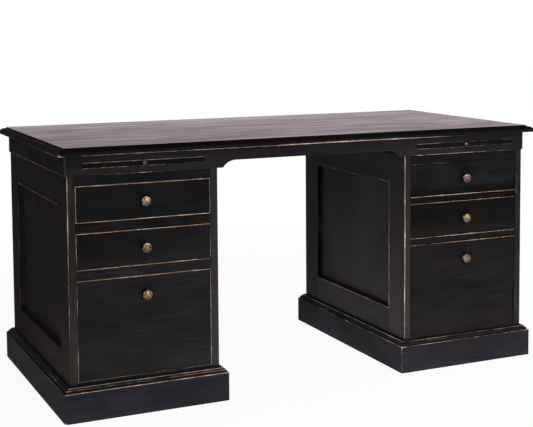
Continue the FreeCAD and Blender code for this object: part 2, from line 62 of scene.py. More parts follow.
class Skin:
    """Gathers grids and flat outlines into one closed mesh.

    The seed shifts the grain, so that no two pieces match. Each spot is (place, reach, depth), and rubs the
    arrises deeper by its depth times a bell of the way to its place over its reach."""

    def __init__(self, seed, spots=()):
        self.spots = spots
        self.shift = np.random.default_rng(seed).uniform(-6.0, 6.0, 3)
        self.points, self.normals, self.wear, self.grain, self.thin = [], [], [], [], []
        self.quads, self.looks, self.outlines = [], [], []
        self.count = 0

    def _keep(self, points, normals, wear, grain, thin):
        """Keeps points with what each carries, and gives the number of the first."""
        flat = points.reshape(-1, 3)
        order = [grain, (grain + 1) % 3, (grain + 2) % 3]
        self.points.append(flat)
        self.normals.append(np.broadcast_to(normals, points.shape).reshape(-1, 3))
        rubbed = np.zeros(len(flat))
        for place, reach, depth in self.spots:
            rubbed += depth * np.exp(-(((flat - place) / reach) ** 2).sum(1))
        self.wear.append(np.broadcast_to(wear, points.shape[:-1] + (4,)).reshape(-1, 4) - rubbed[:, None])
        self.grain.append(flat[:, order] * MM + self.shift)
        self.thin.append(np.broadcast_to(thin, points.shape[:-1]).reshape(-1))
        self.count += len(flat)
        return self.count - len(flat)

    def grid(self, points, normals, wear=FAR, grain=0, thin=0.0, look=0):
        """A grid of rows by columns of points, with a face between each four neighbours."""
        rows, columns = points.shape[:2]
        at = self._keep(points, normals, wear, grain, thin) + np.arange(rows * columns).reshape(rows, columns)
        self.quads.append(np.stack([at[:-1, :-1], at[1:, :-1], at[1:, 1:], at[:-1, 1:]], -1).reshape(-1, 4))
        self.looks.append(np.broadcast_to(look, (rows - 1, columns - 1)).reshape(-1))

    def flat(self, points, normal, grain):
        """One flat painted face inside an outline."""
        self.outlines.append(self._keep(points, normal, FAR, grain, 0.0) + np.arange(len(points)))

    def repeat_turned(self):
        """Adds every grid again, turned half round the desk's middle."""
        for part in (self.points, self.normals):
            part += [values * (-1, -1, 1) for values in part]
        for part in (self.wear, self.grain, self.thin, self.looks):
            part += part
        self.quads += [quads + self.count for quads in self.quads]
        self.count *= 2

    def mesh(self, name, turn):
        """Joins points that fall together, drops faces without area and turns every face outwards. With a
        turn, the mesh goes half round the desk's middle."""
        points, normals, wear, grain, thin, quads, looks = (np.concatenate(part) for part in (
            self.points, self.normals, self.wear, self.grain, self.thin, self.quads, self.looks))
        _, first, same = np.unique(np.round(points, 3), axis=0, return_index=True, return_inverse=True)
        same = same.reshape(-1)
        half_round = (-1, -1, 1) if turn else (1, 1, 1)
        points, normals = points * half_round, normals * half_round
        a, b, c, d = points[quads].transpose(1, 0, 2)
        inward = (np.cross(c - a, d - b) * normals[quads].sum(1)).sum(1) < 0
        quads[inward] = quads[inward][:, ::-1]
        repeated = same[quads] == np.roll(same[quads], -1, axis=1)
        whole = ~repeated.any(1)
        pinched = repeated.sum(1) == 1
        kept = np.array([[1, 2, 3], [0, 2, 3], [0, 1, 3], [0, 1, 2]])[repeated[pinched].argmax(1)]
        triangles = np.take_along_axis(quads[pinched], kept, 1)
        corners = quads[whole].tolist() + triangles.tolist()
        index = looks[whole].tolist() + looks[pinched].tolist() + [0] * len(self.outlines)
        for outline in self.outlines:
            outline = outline[same[outline] != np.roll(same[outline], -1)]
            middle = points[outline].mean(0)
            spin = np.cross(points[outline] - middle, np.roll(points[outline], -1, 0) - middle).sum(0)
            corners.append((outline if spin @ normals[outline[0]] > 0 else outline[::-1]).tolist())
        order = np.concatenate(corners)
        mesh = bpy.data.meshes.new(name)
        mesh.from_pydata((points[first] * MM).tolist(), [], [same[face].tolist() for face in corners])
        mesh.polygons.foreach_set("use_smooth", np.ones(len(corners), bool))
        mesh.polygons.foreach_set("material_index", np.array(index, np.int32))
        for label, kind, field, values in (
            ("wear", "FLOAT_COLOR", "color", wear * MM),
            ("grain", "FLOAT_VECTOR", "vector", grain),
            ("thin", "FLOAT", "value", thin),
        ):
            mesh.attributes.new(label, kind, "CORNER").data.foreach_set(field, values[order].ravel())
        mesh.normals_split_custom_set(normals[order].tolist())
        return mesh


def rub_of(rub, *words):
    """The wear offset of an arris, named by its two faces in either order, as a start and an end."""
    found = rub.get(" ".join(words), rub.get(" ".join(reversed(words)), rub.get("rest", KEPT)))
    return found if isinstance(found, tuple) else (found, found)


def span(low, high, radius, breaks):
    """Lines across a board: an arc from the arris on its 45 degree line, the flat with its breaks, an arc.

    Gives the arc centres, the tangents of the angles, and the way over the surface from the low arris."""
    inner = np.array([low + radius, *breaks, high - radius])
    centres = np.concatenate([[inner[0]] * 2, inner, [inner[-1]] * 2])
    angles = np.concatenate([-ARC[:2], np.zeros(len(inner)), ARC[1::-1]])
    return centres, np.tan(angles), centres - inner[0] + radius * (angles + ARC[0])


def board(skin, low, high, radius=ARRIS, grain=0, rub=UNTOUCHED, breaks=((), (), ()), holes=(), looks=None,
          thin=None, warp=None, rail_grain=None, painted_from=FAR):
    """A rounded board. Each point of a face is its inner corner box's point plus the radius times the unit
    vector along (face normal + tan a * across + tan b * along), a and b running from -45 to 45 degrees.

    rub gives wear offsets by the two faces of an arris, looks and thin give the material and the thin paint
    by face, and "rest" stands for what isn't named. breaks are extra lines along each axis. A hole is (names
    of the faces it opens in, (low, high) along the next axis, (low, high) along the one after). rail_grain is
    the grain above and below it. Bare faces are painted where they lie further than painted_from from the
    middle."""
    looks, thin = looks or {}, thin or {}
    spans = [span(low[axis], high[axis], radius, breaks[axis]) for axis in range(3)]
    for (axis, sign), face in SIDE_OF.items():
        b, c = (axis + 1) % 3, (axis + 2) % 3
        middle_b, middle_c = np.meshgrid(spans[b][0], spans[c][0], indexing="ij")
        slope_b, slope_c = np.meshgrid(spans[b][1], spans[c][1], indexing="ij")
        reach_b, reach_c = np.meshgrid(spans[b][2], spans[c][2], indexing="ij")
        way = slope_b[..., None] * UNIT[b] + slope_c[..., None] * UNIT[c] + sign * UNIT[axis]
        way = way / np.linalg.norm(way, axis=-1, keepdims=True)
        base = high[axis] - radius if sign > 0 else low[axis] + radius
        points = middle_b[..., None] * UNIT[b] + middle_c[..., None] * UNIT[c] + base * UNIT[axis]
        points = points + radius * way
        wear = []
        for reach, other, part in ((reach_b, reach_c, b), (reach_c, reach_b, c)):
            for end in (-1, 1):
                start, stop = rub_of(rub, face, SIDE_OF[part, end])
                away = reach if end < 0 else reach.max() - reach
                wear.append(away + start + (stop - start) * other / other.max())
        wear = np.stack(wear, -1)
        if warp:
            points, way = warp(points, way)
        look = np.full(np.subtract(points.shape[:2], 1), looks.get(face, looks.get("rest", 0)))
        for part, strips in ((b, look), (c, look.T)):
            for end, strip in ((-1, strips[:2]), (1, strips[-2:])):
                np.minimum(strip, looks.get(SIDE_OF[part, end], looks.get("rest", 0)), out=strip)
        look[np.abs(points[:-1, :-1, 1] + points[1:, 1:, 1]) > 2 * painted_from] = 0
        paint = thin.get(face, thin.get("rest", 0.0))
        open_here = [hole[1:] for hole in holes if face in hole[0]]
        if not open_here:
            skin.grid(points, way, wear, grain, paint, look)
            continue
        cells = [list(zip(line[:-1], line[1:])) for line in
                 ([low[part] + radius, *breaks[part], high[part] - radius] for part in (b, c))]
        for i, cell_b in enumerate(cells[0]):
            for j, cell_c in enumerate(cells[1]):
                if any(inside(cell_b, hole[0]) and inside(cell_c, hole[1]) for hole in open_here):
                    continue
                rows = slice(i + 2 if i else 0, i + 4 if i + 1 < len(cells[0]) else None)
                columns = slice(j + 2 if j else 0, j + 4 if j + 1 < len(cells[1]) else None)
                near = np.full(wear[rows, columns].shape, FAR)
                near[..., 0] = wear[rows, columns, 0 if sum(cell_b) < low[b] + high[b] else 1]
                near[..., 1] = wear[rows, columns, 2 if sum(cell_c) < low[c] + high[c] else 3]
                run = grain
                for hole in open_here:
                    if rail_grain is not None and inside(cell_b, hole[0]):
                        run = rail_grain
                    for k, cell, other, edges, others, middles, part in (
                        (2, cell_b, cell_c, hole[0], hole[1], middle_b, b),
                        (3, cell_c, cell_b, hole[1], hole[0], middle_c, c),
                    ):
                        for end, edge in zip((-1, 1), edges):
                            touching = cell[1] if end < 0 else cell[0]
                            if inside(other, others) and abs(touching - edge - end * radius) < 0.01:
                                away = (middles[rows, columns] - touching) * end + radius * ARC[0]
                                near[..., k] = away + rub_of(rub, "opening", SIDE_OF[part, end])[0]
                spot = look[rows, columns][:near.shape[0] - 1, :near.shape[1] - 1]
                skin.grid(points[rows, columns], way[rows, columns], near, run, paint, spot)


def inside(cell, edges):
    """Whether a cell's middle lies between two edges."""
    return edges[0] < sum(cell) / 2 < edges[1]


def section(corners, radii, side=1, closed=False):
    """A section line with its corners rounded. Each sample is a place, an outward normal, the move that keeps
    a sharp corner closed when the line shrinks, and its length along the line. Also gives the number of the
    sample on each corner. A corner that turns less than 25 degrees is part of a curve."""
    corners = np.asarray(corners, float)
    count = len(corners)
    places, ways, moves, marks = [], [], [], []
    steps = np.roll(corners, -1, 0) - corners
    steps /= np.maximum(np.linalg.norm(steps, axis=1, keepdims=True), 1e-9)
    outward = np.stack([steps[:, 1], -steps[:, 0]], 1) * side
    for k in range(count):
        before, after = outward[k - 1], outward[k]
        turn = math.atan2(before[0] * after[1] - before[1] * after[0], before @ after)
        if not closed and k in (0, count - 1):
            found = [(corners[k], after if k == 0 else before, after if k == 0 else before)]
        elif abs(turn) < math.radians(25):
            found = [(corners[k], (before + after) / np.linalg.norm(before + after), (before + after) / 2)]
        elif radii[k] == 0:
            mitre = (before + after) / (1 + before @ after)
            found = [(corners[k], before, mitre), (corners[k], after, mitre)]
        else:
            hand = 1 if turn * side > 0 else -1
            centre = corners[k] - steps[k - 1] * radii[k] * math.tan(abs(turn) / 2) - before * radii[k] * hand
            found = []
            for angle in turn * np.linspace(0, 1, 5):
                way = np.array([before[0] * math.cos(angle) - before[1] * math.sin(angle),
                                before[0] * math.sin(angle) + before[1] * math.cos(angle)])
                found.append((centre + way * radii[k] * hand, way, way))
        marks.append(len(places) + len(found) // 2)
        for place, way, move in found:
            places.append(place)
            ways.append(way)
            moves.append(move)
    if closed:
        places.append(places[0])
        ways.append(ways[0])
        moves.append(moves[0])
    places = np.array(places)
    lengths = np.concatenate([[0], np.cumsum(np.linalg.norm(np.diff(places, axis=0), axis=1))])
    return {"places": places, "ways": np.array(ways), "moves": np.array(moves), "lengths": lengths,
            "marks": marks}


def stretches(line, worn):
    """Cuts a section line at its worn corners. Yields the samples of each stretch, with the way to the worn
    corner before it and after it and their numbers in worn."""
    marks = [line["marks"][corner] for corner in worn]
    lengths, last = line["lengths"], len(line["places"]) - 1
    edges = [0, *marks, last]
    for k, (start, stop) in enumerate(zip(edges[:-1], edges[1:])):
        if stop <= start:
            continue
        rows = slice(start, stop + 1)
        part = lengths[rows]
        before = part - lengths[start] if k else np.full(len(part), FAR)
        after = lengths[stop] - part if k < len(marks) else np.full(len(part), FAR)
        yield rows, before, k - 1, after, k


def ring(skin, u, v, w, middle, half, line, worn=(), offsets=(), corner=0.0, corner_rub=FAR,
         sides=(0, 1, 2, 3), grains=(0, 1), thin=0.0, look=0, capped=False, parts=3):
    """A section carried round a rectangle in the plane of u and v. The section's first coordinate is how far
    outside the rectangle a point lies, its second its height along w, and each corner turns on a small arc.

    worn lists section corners, offsets gives each its four wear offsets, for the sides towards +u, +v, -u and
    -v, and corner_rub is the wear offset of the turns. parts is the number of columns between two turns."""
    out, height = line["places"][:, :1], line["places"][:, 1:]
    arc = corner * ARC[0]
    for side in sides:
        angle = side * math.pi / 2 + np.concatenate([-ARC[:2], np.zeros(parts), ARC[1::-1]])
        ahead = np.array([math.cos(side * math.pi / 2), math.sin(side * math.pi / 2)]).round()
        along = np.array([-ahead[1], ahead[0]])
        share = np.sin(np.concatenate([[-1, -1], np.linspace(-1, 1, parts), [1, 1]]) * math.pi / 2)
        signs = ahead + share[:, None] * along
        local_u = signs[:, 0] * (half[0] + out - corner) + corner * np.cos(angle)
        local_v = signs[:, 1] * (half[1] + out - corner) + corner * np.sin(angle)
        points = ((middle[0] + local_u)[..., None] * u + (middle[1] + local_v)[..., None] * v
                  + np.broadcast_to(middle[2] + height, local_u.shape)[..., None] * w)
        flat_way = np.cos(angle)[:, None] * u + np.sin(angle)[:, None] * v
        normals = line["ways"][:, :1, None] * flat_way + line["ways"][:, 1:, None] * w
        half_run = abs(along[0]) * (half[0] + out - corner) + abs(along[1]) * (half[1] + out - corner)
        near_end = np.concatenate([[0, 0.5], np.ones(parts), [0.5, 0]]) * arc
        away = near_end + half_run * (1 - np.abs(share))
        for rows, before, low, after, high in stretches(line, worn):
            wear = np.full(points[rows].shape[:2] + (4,), FAR)
            wear[..., 0] = before[:, None] + (offsets[low][side] if low >= 0 else 0)
            wear[..., 1] = after[:, None] + (offsets[high][side] if high < len(worn) else 0)
            wear[..., 2] = away[rows] + corner_rub
            skin.grid(points[rows], normals[rows], wear, grains[side % 2], thin, look)
        if capped:
            for column, sign in ((0, -1), (-1, 1)):
                cut = (sign * along[0] - ahead[0]) * u + (sign * along[1] - ahead[1]) * v
                skin.flat(points[:-1, column], cut, grains[side % 2])


def prism(skin, across, up, along, low, high, line, worn, offsets, radius=ARRIS, thin=0.0):
    """A closed section carried straight along an axis. At each end the section shrinks by the radius times
    (1 - cos a) while it moves on by the radius times sin a, and a flat face closes it."""
    angle = np.radians([90, 67.5, 45, 22.5, 0, 0, 22.5, 45, 67.5, 90])
    toward = np.array([-1] * 5 + [1] * 5)
    base = np.array([low + radius] * 5 + [high - radius] * 5)
    way_along = toward * np.sin(angle)
    run = base + radius * way_along
    shrink = radius * (1 - np.cos(angle))
    flat = line["places"][:, None] - line["moves"][:, None] * shrink[:, None]
    points = flat[..., :1] * across + flat[..., 1:] * up + run[:, None] * along
    turned_way = line["ways"][:, None] * np.cos(angle)[:, None]
    normals = turned_way[..., :1] * across + turned_way[..., 1:] * up + way_along[:, None] * along
    first = np.array([1, 0.5, 0, 0.5, 1]) * radius * ARC[0]
    from_low = np.concatenate([first, first[-1] + high - low - 2 * radius + np.arange(5) * radius * ARC[1]])
    for rows, before, a, after, b in stretches(line, worn):
        wear = np.full(points[rows].shape[:2] + (4,), FAR)
        wear[..., 0] = before[:, None] + (offsets[a] if a >= 0 else 0)
        wear[..., 1] = after[:, None] + (offsets[b] if b < len(worn) else 0)
        wear[..., 2] = from_low + KEPT
        wear[..., 3] = from_low[::-1] + KEPT
        skin.grid(points[rows], normals[rows], wear, thin=thin)
    for column, sign in ((0, -1), (-1, 1)):
        skin.flat(points[:-1, column], sign * along, 0)


def turned(skin, centre, axis, sign, profile, around, dirt_and_shade=0.0):
    """A turned shape: each profile point (radius, height) goes once round the axis. Poles are closed."""
    slope = np.gradient(profile, axis=0)
    slope /= np.maximum(np.linalg.norm(slope, axis=1, keepdims=True), 1e-9)
    out, up = slope[:, 1], -slope[:, 0]
    if out[np.argmax(profile[:, 0])] < 0:
        out, up = -out, -up
    angle = np.linspace(0, 2 * math.pi, around + 1)
    about = np.cos(angle)[:, None] * UNIT[(axis + 1) % 3] + np.sin(angle)[:, None] * UNIT[(axis + 2) % 3]
    w = sign * UNIT[axis]
    points = np.asarray(centre, float) + profile[:, 0, None, None] * about + profile[:, 1, None, None] * w
    skin.grid(points, out[:, None, None] * about + up[:, None, None] * w, FAR, axis, dirt_and_shade)


def smooth_line(points, parts=5):
    """A smooth line through points: each stretch is the cubic whose ends and slopes fit its neighbours."""
    points = np.asarray(points, float)
    ends = np.vstack([2 * points[0] - points[1], points, 2 * points[-1] - points[-2]])
    p0, p1, p2, p3 = ends[:-3], ends[1:-2], ends[2:-1], ends[3:]
    t = (np.arange(parts) / parts)[None, :, None]
    p0, p1, p2, p3 = (p[:, None] for p in (p0, p1, p2, p3))
    line = 0.5 * (2 * p1 + (p2 - p0) * t + (2 * p0 - 5 * p1 + 4 * p2 - p3) * t ** 2
                  + (3 * p1 - p0 - 3 * p2 + p3) * t ** 3)
    return np.vstack([line.reshape(-1, 2), points[-1]])


# ---------------------------------------------------------------- sizes, as the frame has them

FACES = (("front", 0), ("rear", 1))            # the rear is the front turned half round
TOP_HALF = (800.0, 400.0)
FIELD_HALF = (780.0, 380.0)
DESK_HEIGHT, EDGING_TOP, TOP_UNDERSIDE = 780.0, 776.0, 758.0
EDGING_ROUND = 16.0
CASE_END, CASE_FACE, CASE_UNDERSIDE = 774.0, 370.0, 698.0
BOARD_THICK = 20.0
APRON_RISE, APRON_FOOT, APRON_START = 21.0, 302.0, 262.0
PEDESTAL_OUT, PEDESTAL_IN, PEDESTAL_FACE = 770.0, 320.0, 367.0
OPEN_OUT, OPEN_IN = 748.0, 342.0
OPEN_TOP, OPEN_BOTTOM = 671.0, 108.0
MIDDLE = 545.0                                 # of a pedestal, from the desk's own
BASE_BOTTOM = 86.0
RAIL_TOPS = {"upper": 563.0, "lower": 428.0}
RAIL_HIGH, RAIL_DEEP, DUST_THICK = 27.0, 45.0, 12.0
DIVIDER_HALF = 9.0
SLOT = (362.0, 728.0, 717.7, 735.7)            # near end, far end, foot and head
SLIDE_HALF, SLIDE_LOW, SLIDE_HIGH = 182.0, 718.0, 735.0
SLIDE_BACK, BATTEN = -25.0, (-85.0, -65.0)
GROOVE_HALF = 183.0
PANEL = (264.0, 186.0, 604.0)                  # half its width, foot and head
PANEL_DEPTH, PANEL_INSET = 16.0, 5.0
PAINTED_DEPTH = 24.0                           # how far paint runs in from the front on an inside face
DRAWERS = {"upper": (563.0, 671.0, 617.0), "middle": (428.0, 536.0, 482.0), "deep": (108.0, 401.0, 345.0)}
BOX_WALL, BOX_END = 10.0, -27.0
FRONT_GAP, FRONT_THICK = 1.5, 20.0
BANDS = ((541.0, 562.0), (407.0, 428.0))
BAND_DEPTH = 2.5
DOOR_LEFT, DOOR_RIGHT = 343.5, 746.4
DOOR_KNOBS = (615.75, 484.5, 351.0)
KNOB_SIDES = 40
SLIDE_KNOB = (6.2 / 14, 0.5, 0.25)             # its width and length over a drawer knob's, and how much darker it is all over
HINGES = (156.0, 548.0)
HINGE_AXIS = (747.2, 371.3)
HINGE_LONG, KNUCKLES = 75.0, 5


# ---------------------------------------------------------------- materials

def new_group(name, inputs, outputs):
    """An empty shader group with named float sockets, and its two end nodes."""
    tree = bpy.data.node_groups.new(name, "ShaderNodeTree")
    for label, value in inputs.items():
        socket = tree.interface.new_socket(name=label, in_out="INPUT", socket_type="NodeSocketFloat")
        socket.default_value = value
    for label in outputs:
        tree.interface.new_socket(name=label, in_out="OUTPUT", socket_type="NodeSocketFloat")
    return tree, tree.nodes.new("NodeGroupInput"), tree.nodes.new("NodeGroupOutput")


def node(tree, kind, inputs=None, **settings):
    """Adds a node, sets its properties, and sets or links its inputs."""
    made = tree.nodes.new(kind)
    for label, value in settings.items():
        setattr(made, label, value)
    for label, value in (inputs or {}).items():
        if isinstance(value, bpy.types.NodeSocket):
            tree.links.new(value, made.inputs[label])
        else:
            made.inputs[label].default_value = value
    return made


def maths(tree, operation, first, second=0.0, third=0.0):
    """One sum of a Math node."""
    return node(tree, "ShaderNodeMath", {0: first, 1: second, 2: third}, operation=operation).outputs[0]


def times(tree, first, second):
    """A product."""
    return maths(tree, "MULTIPLY", first, second)


def times_plus(tree, first, second, third):
    """A product of two values, and a third added."""
    return maths(tree, "MULTIPLY_ADD", first, second, third)


def vector_maths(tree, operation, first, second, output="Vector"):
    """One sum of a Vector Math node."""
    return node(tree, "ShaderNodeVectorMath", {0: first, 1: second}, operation=operation).outputs[output]


def ramp(tree, value, low, high, start=0.0, end=1.0):
    """A smooth step of a value from low to high."""
    made = node(tree, "ShaderNodeMapRange", {"Value": value, "From Min": low, "From Max": high,
                                             "To Min": start, "To Max": end}, interpolation_type="SMOOTHSTEP")
    return made.outputs["Result"]


def blend(tree, part, first, second, kind="MIX"):
    """Two colours mixed by a part from 0 to 1."""
    made = node(tree, "ShaderNodeMix", {0: part, 6: first, 7: second}, data_type="RGBA", blend_type=kind)
    return made.outputs[2]


def tinge(tree, colour, mask, share, tint):
    """A colour with a share of a tint laid on it where a mask is 1."""
    return blend(tree, times(tree, mask, share), colour, tint)


def attribute(tree, name, output):
    """What the corners of a piece's faces carry."""
    return node(tree, "ShaderNodeAttribute", attribute_name=name).outputs[output]


def object_place(tree):
    """A point's place on the desk at rest, in metres."""
    return node(tree, "ShaderNodeTexCoord").outputs["Object"]


def place_along(tree, axis):
    """A point's place along one axis, in metres."""
    return node(tree, "ShaderNodeSeparateXYZ", {0: object_place(tree)}).outputs[axis]


def noise(tree, vector, scale, detail=4.0, rough=0.55, twist=0.0):
    """The value of a noise texture, about 0.5 on the whole."""
    return node(tree, "ShaderNodeTexNoise", {"Vector": vector, "Scale": scale, "Detail": detail,
                                             "Roughness": rough, "Distortion": twist}).outputs["Fac"]


def drawn_out(tree, along):
    """The place in the grain, with its length scaled."""
    grain = attribute(tree, "grain", "Vector")
    return node(tree, "ShaderNodeMapping", {"Vector": grain, "Scale": (along, 1.0, 1.0)}).outputs[0]


def give(tree, result, **values):
    """Links a group's results."""
    for label, value in values.items():
        tree.links.new(value, result.inputs[label])
    return tree


def make_grain_group():
    """Wood grain: broad figure bands, fine fibres and short pores, all drawn out along the board."""
    tree, given, result = new_group("wood_grain", {"Figure Scale": 9.0, "Fibre Scale": 260.0},
                                    ("Figure", "Fibres", "Pores"))
    figure = noise(tree, drawn_out(tree, 0.08), given.outputs["Figure Scale"], 3.0, 0.5, 0.4)
    bands = maths(tree, "PINGPONG", times(tree, figure, 7.0), 1.0)
    fibres = noise(tree, drawn_out(tree, 0.035), given.outputs["Fibre Scale"], 5.0, 0.65)
    pores = ramp(tree, noise(tree, drawn_out(tree, 0.09), 620.0, 1.0, 0.5), 0.60, 0.70)
    return give(tree, result, Figure=bands, Fibres=fibres, Pores=pores)


def make_wear_group():
    """Rubbed arrises: bare where the way to the nearest arris is less than a width that wanders and chips."""
    tree, given, result = new_group("rubbed_arrises", {"Width": 0.0015, "Wander": 0.0030, "Chips": 0.0018},
                                    ("Bare", "Halo", "Tone"))
    parts = node(tree, "ShaderNodeSeparateColor", {"Color": attribute(tree, "wear", "Color")}).outputs
    nearest = maths(tree, "MINIMUM", parts[0], parts[1])
    nearest = maths(tree, "MINIMUM", nearest, parts[2])
    nearest = maths(tree, "MINIMUM", nearest, attribute(tree, "wear", "Alpha"))
    grain = attribute(tree, "grain", "Vector")
    slow = maths(tree, "SUBTRACT", noise(tree, grain, 8.0, 2.0, 0.5), 0.5)
    middle = maths(tree, "SUBTRACT", noise(tree, grain, 60.0, 3.0, 0.6), 0.5)
    quick = maths(tree, "SUBTRACT", noise(tree, grain, 520.0, 3.0, 0.6), 0.5)
    wander = times_plus(tree, middle, 0.7, slow)
    reach = times_plus(tree, wander, given.outputs["Wander"], given.outputs["Width"])
    reach = times_plus(tree, quick, given.outputs["Chips"], reach)
    over = maths(tree, "SUBTRACT", reach, nearest)
    bare = ramp(tree, over, -0.00015, 0.00035)
    halo = ramp(tree, over, -0.0011, 0.0003)
    tone = ramp(tree, noise(tree, grain, 24.0, 4.0, 0.6), 0.42, 0.72)
    return give(tree, result, Bare=bare, Halo=halo, Tone=tone)


def make_cloud_group():
    """Slow changes over a piece, for sheen and colour, and small specks."""
    tree, given, result = new_group("hand_finish", {"Scale": 5.0, "Stretch": 0.35},
                                    ("Cloud", "Smears", "Specks"))
    grain = attribute(tree, "grain", "Vector")
    pull = node(tree, "ShaderNodeCombineXYZ", {0: given.outputs["Stretch"], 1: 1.0, 2: 1.0}).outputs[0]
    drawn = vector_maths(tree, "MULTIPLY", grain, pull)
    cloud = noise(tree, drawn, given.outputs["Scale"], 3.0, 0.55, 0.3)
    smears = noise(tree, drawn, times(tree, given.outputs["Scale"], 6.0), 5.0, 0.62, 0.5)
    specks = noise(tree, grain, 330.0, 2.0, 0.5)
    return give(tree, result, Cloud=ramp(tree, cloud, 0.32, 0.68), Smears=ramp(tree, smears, 0.35, 0.66),
                Specks=ramp(tree, specks, 0.66, 0.74))


def use(tree, group, **values):
    """Places a group with its own values."""
    made = tree.nodes.new("ShaderNodeGroup")
    made.node_tree = group
    for label, value in values.items():
        made.inputs[label.replace("_", " ")].default_value = value
    return made.outputs


def new_material(name, **constants):
    """A material and its nodes, the constants set on the shader's own sockets."""
    made = bpy.data.materials.new(name)
    made.use_nodes = True
    for label, value in constants.items():
        made.node_tree.nodes["Principled BSDF"].inputs[label.replace("_", " ")].default_value = value
    return made, made.node_tree


def finish_material(made, colour, rough, height, distance, metal=None):
    """Links what changes over the surface to the shader, with a bump from a height."""
    tree = made.node_tree
    shader = tree.nodes["Principled BSDF"]
    bump = node(tree, "ShaderNodeBump", {"Height": height, "Distance": distance}).outputs[0]
    for label, value in (("Base Color", colour), ("Roughness", rough), ("Normal", bump), ("Metallic", metal)):
        if value is not None:
            tree.links.new(value, shader.inputs[label])
    return made


GRAIN_GROUP = make_grain_group()
WEAR_GROUP = make_wear_group()
CLOUD_GROUP = make_cloud_group()

DARKEST = ((0.0014, 0.0012, 0.0013, 1), (0.0042, 0.0037, 0.0038, 1))
# One black paint in several places, each a lighter or darker copy for the light that falls there: painted
# light and shade. The kneehole's is lighter, a painted light in the kneehole, and the outer sides' lighter
# and warmer, partly a drier finish and partly painted light. The plinths' and the door's are darker, a
# painted shade. The darkest, on the rear wall of the panel recess, is a painted shade.
SHADES = {                                     # the darker and the lighter parts of each place's paint, at levels set for the light there
    "black": ((0.0080, 0.0078, 0.0086, 1), (0.0122, 0.0124, 0.0142, 1)),
    "edging": DARKEST,
    "kneehole": ((0.0150, 0.0138, 0.0148, 1), (0.0228, 0.0210, 0.0226, 1)),
    "case": ((0.0125, 0.0120, 0.0138, 1), (0.0185, 0.0182, 0.0210, 1)),
    "outer": ((0.0144, 0.0126, 0.0128, 1), (0.0224, 0.0197, 0.0202, 1)),
    "plinth": ((0.0073, 0.0074, 0.0092, 1), (0.0112, 0.0116, 0.0150, 1)),
    "door": ((0.0052, 0.0048, 0.0051, 1), (0.0086, 0.0080, 0.0086, 1)),
    "recess_shade": DARKEST,
}
# Near black laid round each knob: a painted shadow of the knob, with grime.
KNOB_SHADE_BLACK = (0.0008, 0.0007, 0.0007, 1)
BROWN_BLACK = (0.020, 0.0125, 0.0085, 1)
THIN_BROWN = (0.064, 0.042, 0.030, 1)
RUB_TAN = (0.28, 0.185, 0.120, 1)
RUB_CREAM = (0.61, 0.505, 0.405, 1)
PALER = 2.4                                    # how much lighter a pale streak is than the lighter paint
# Below these heights the edging is paler: a painted sheen on its lower part.
EDGING_LOW_SHEEN = (0.7660, 0.7705, (0.0108, 0.0096, 0.0104, 1))
# Multiplied into the paint above these heights: the black paint darkens over the upper drawers, a painted
# shade; the door darkens at its middle, a painted shade, and its top band is lighter and bluer, a painted
# sheen.
DRAWER_HEIGHT_SHADE = ((0.38, 0.54, (0.72, 0.72, 0.72, 1)),)
DOOR_SHADE_AND_SHEEN = ((0.44, 0.48, (0.68, 0.68, 0.68, 1)), (0.575, 0.60, (1.75, 2.00, 2.26, 1)))
KNOB_SHADE_REACH = (0.008, 0.017)                   # from a knob's axis, in metres
KNOB_SHADE_FACES = (0.358, 0.363)                   # the painted knob shadow and grime lie only on faces further out than this


def knob_shadow_and_grime(tree, heights):
    """How near a point of a front lies to a knob, for its painted shadow and grime: 1 close to the axis of
    one, 0 beyond their reach.
    """
    across = maths(tree, "SUBTRACT", maths(tree, "ABSOLUTE", place_along(tree, 0)), MIDDLE * MM)
    nearest = 1.0
    for height in heights:
        up = maths(tree, "SUBTRACT", place_along(tree, 2), height * MM)
        square = times_plus(tree, up, up, times(tree, across, across))
        nearest = maths(tree, "MINIMUM", maths(tree, "SQRT", square), nearest)
    outside = ramp(tree, maths(tree, "ABSOLUTE", place_along(tree, 1)), *KNOB_SHADE_FACES)
    return times(tree, ramp(tree, nearest, *KNOB_SHADE_REACH, 1.0, 0.0), outside)


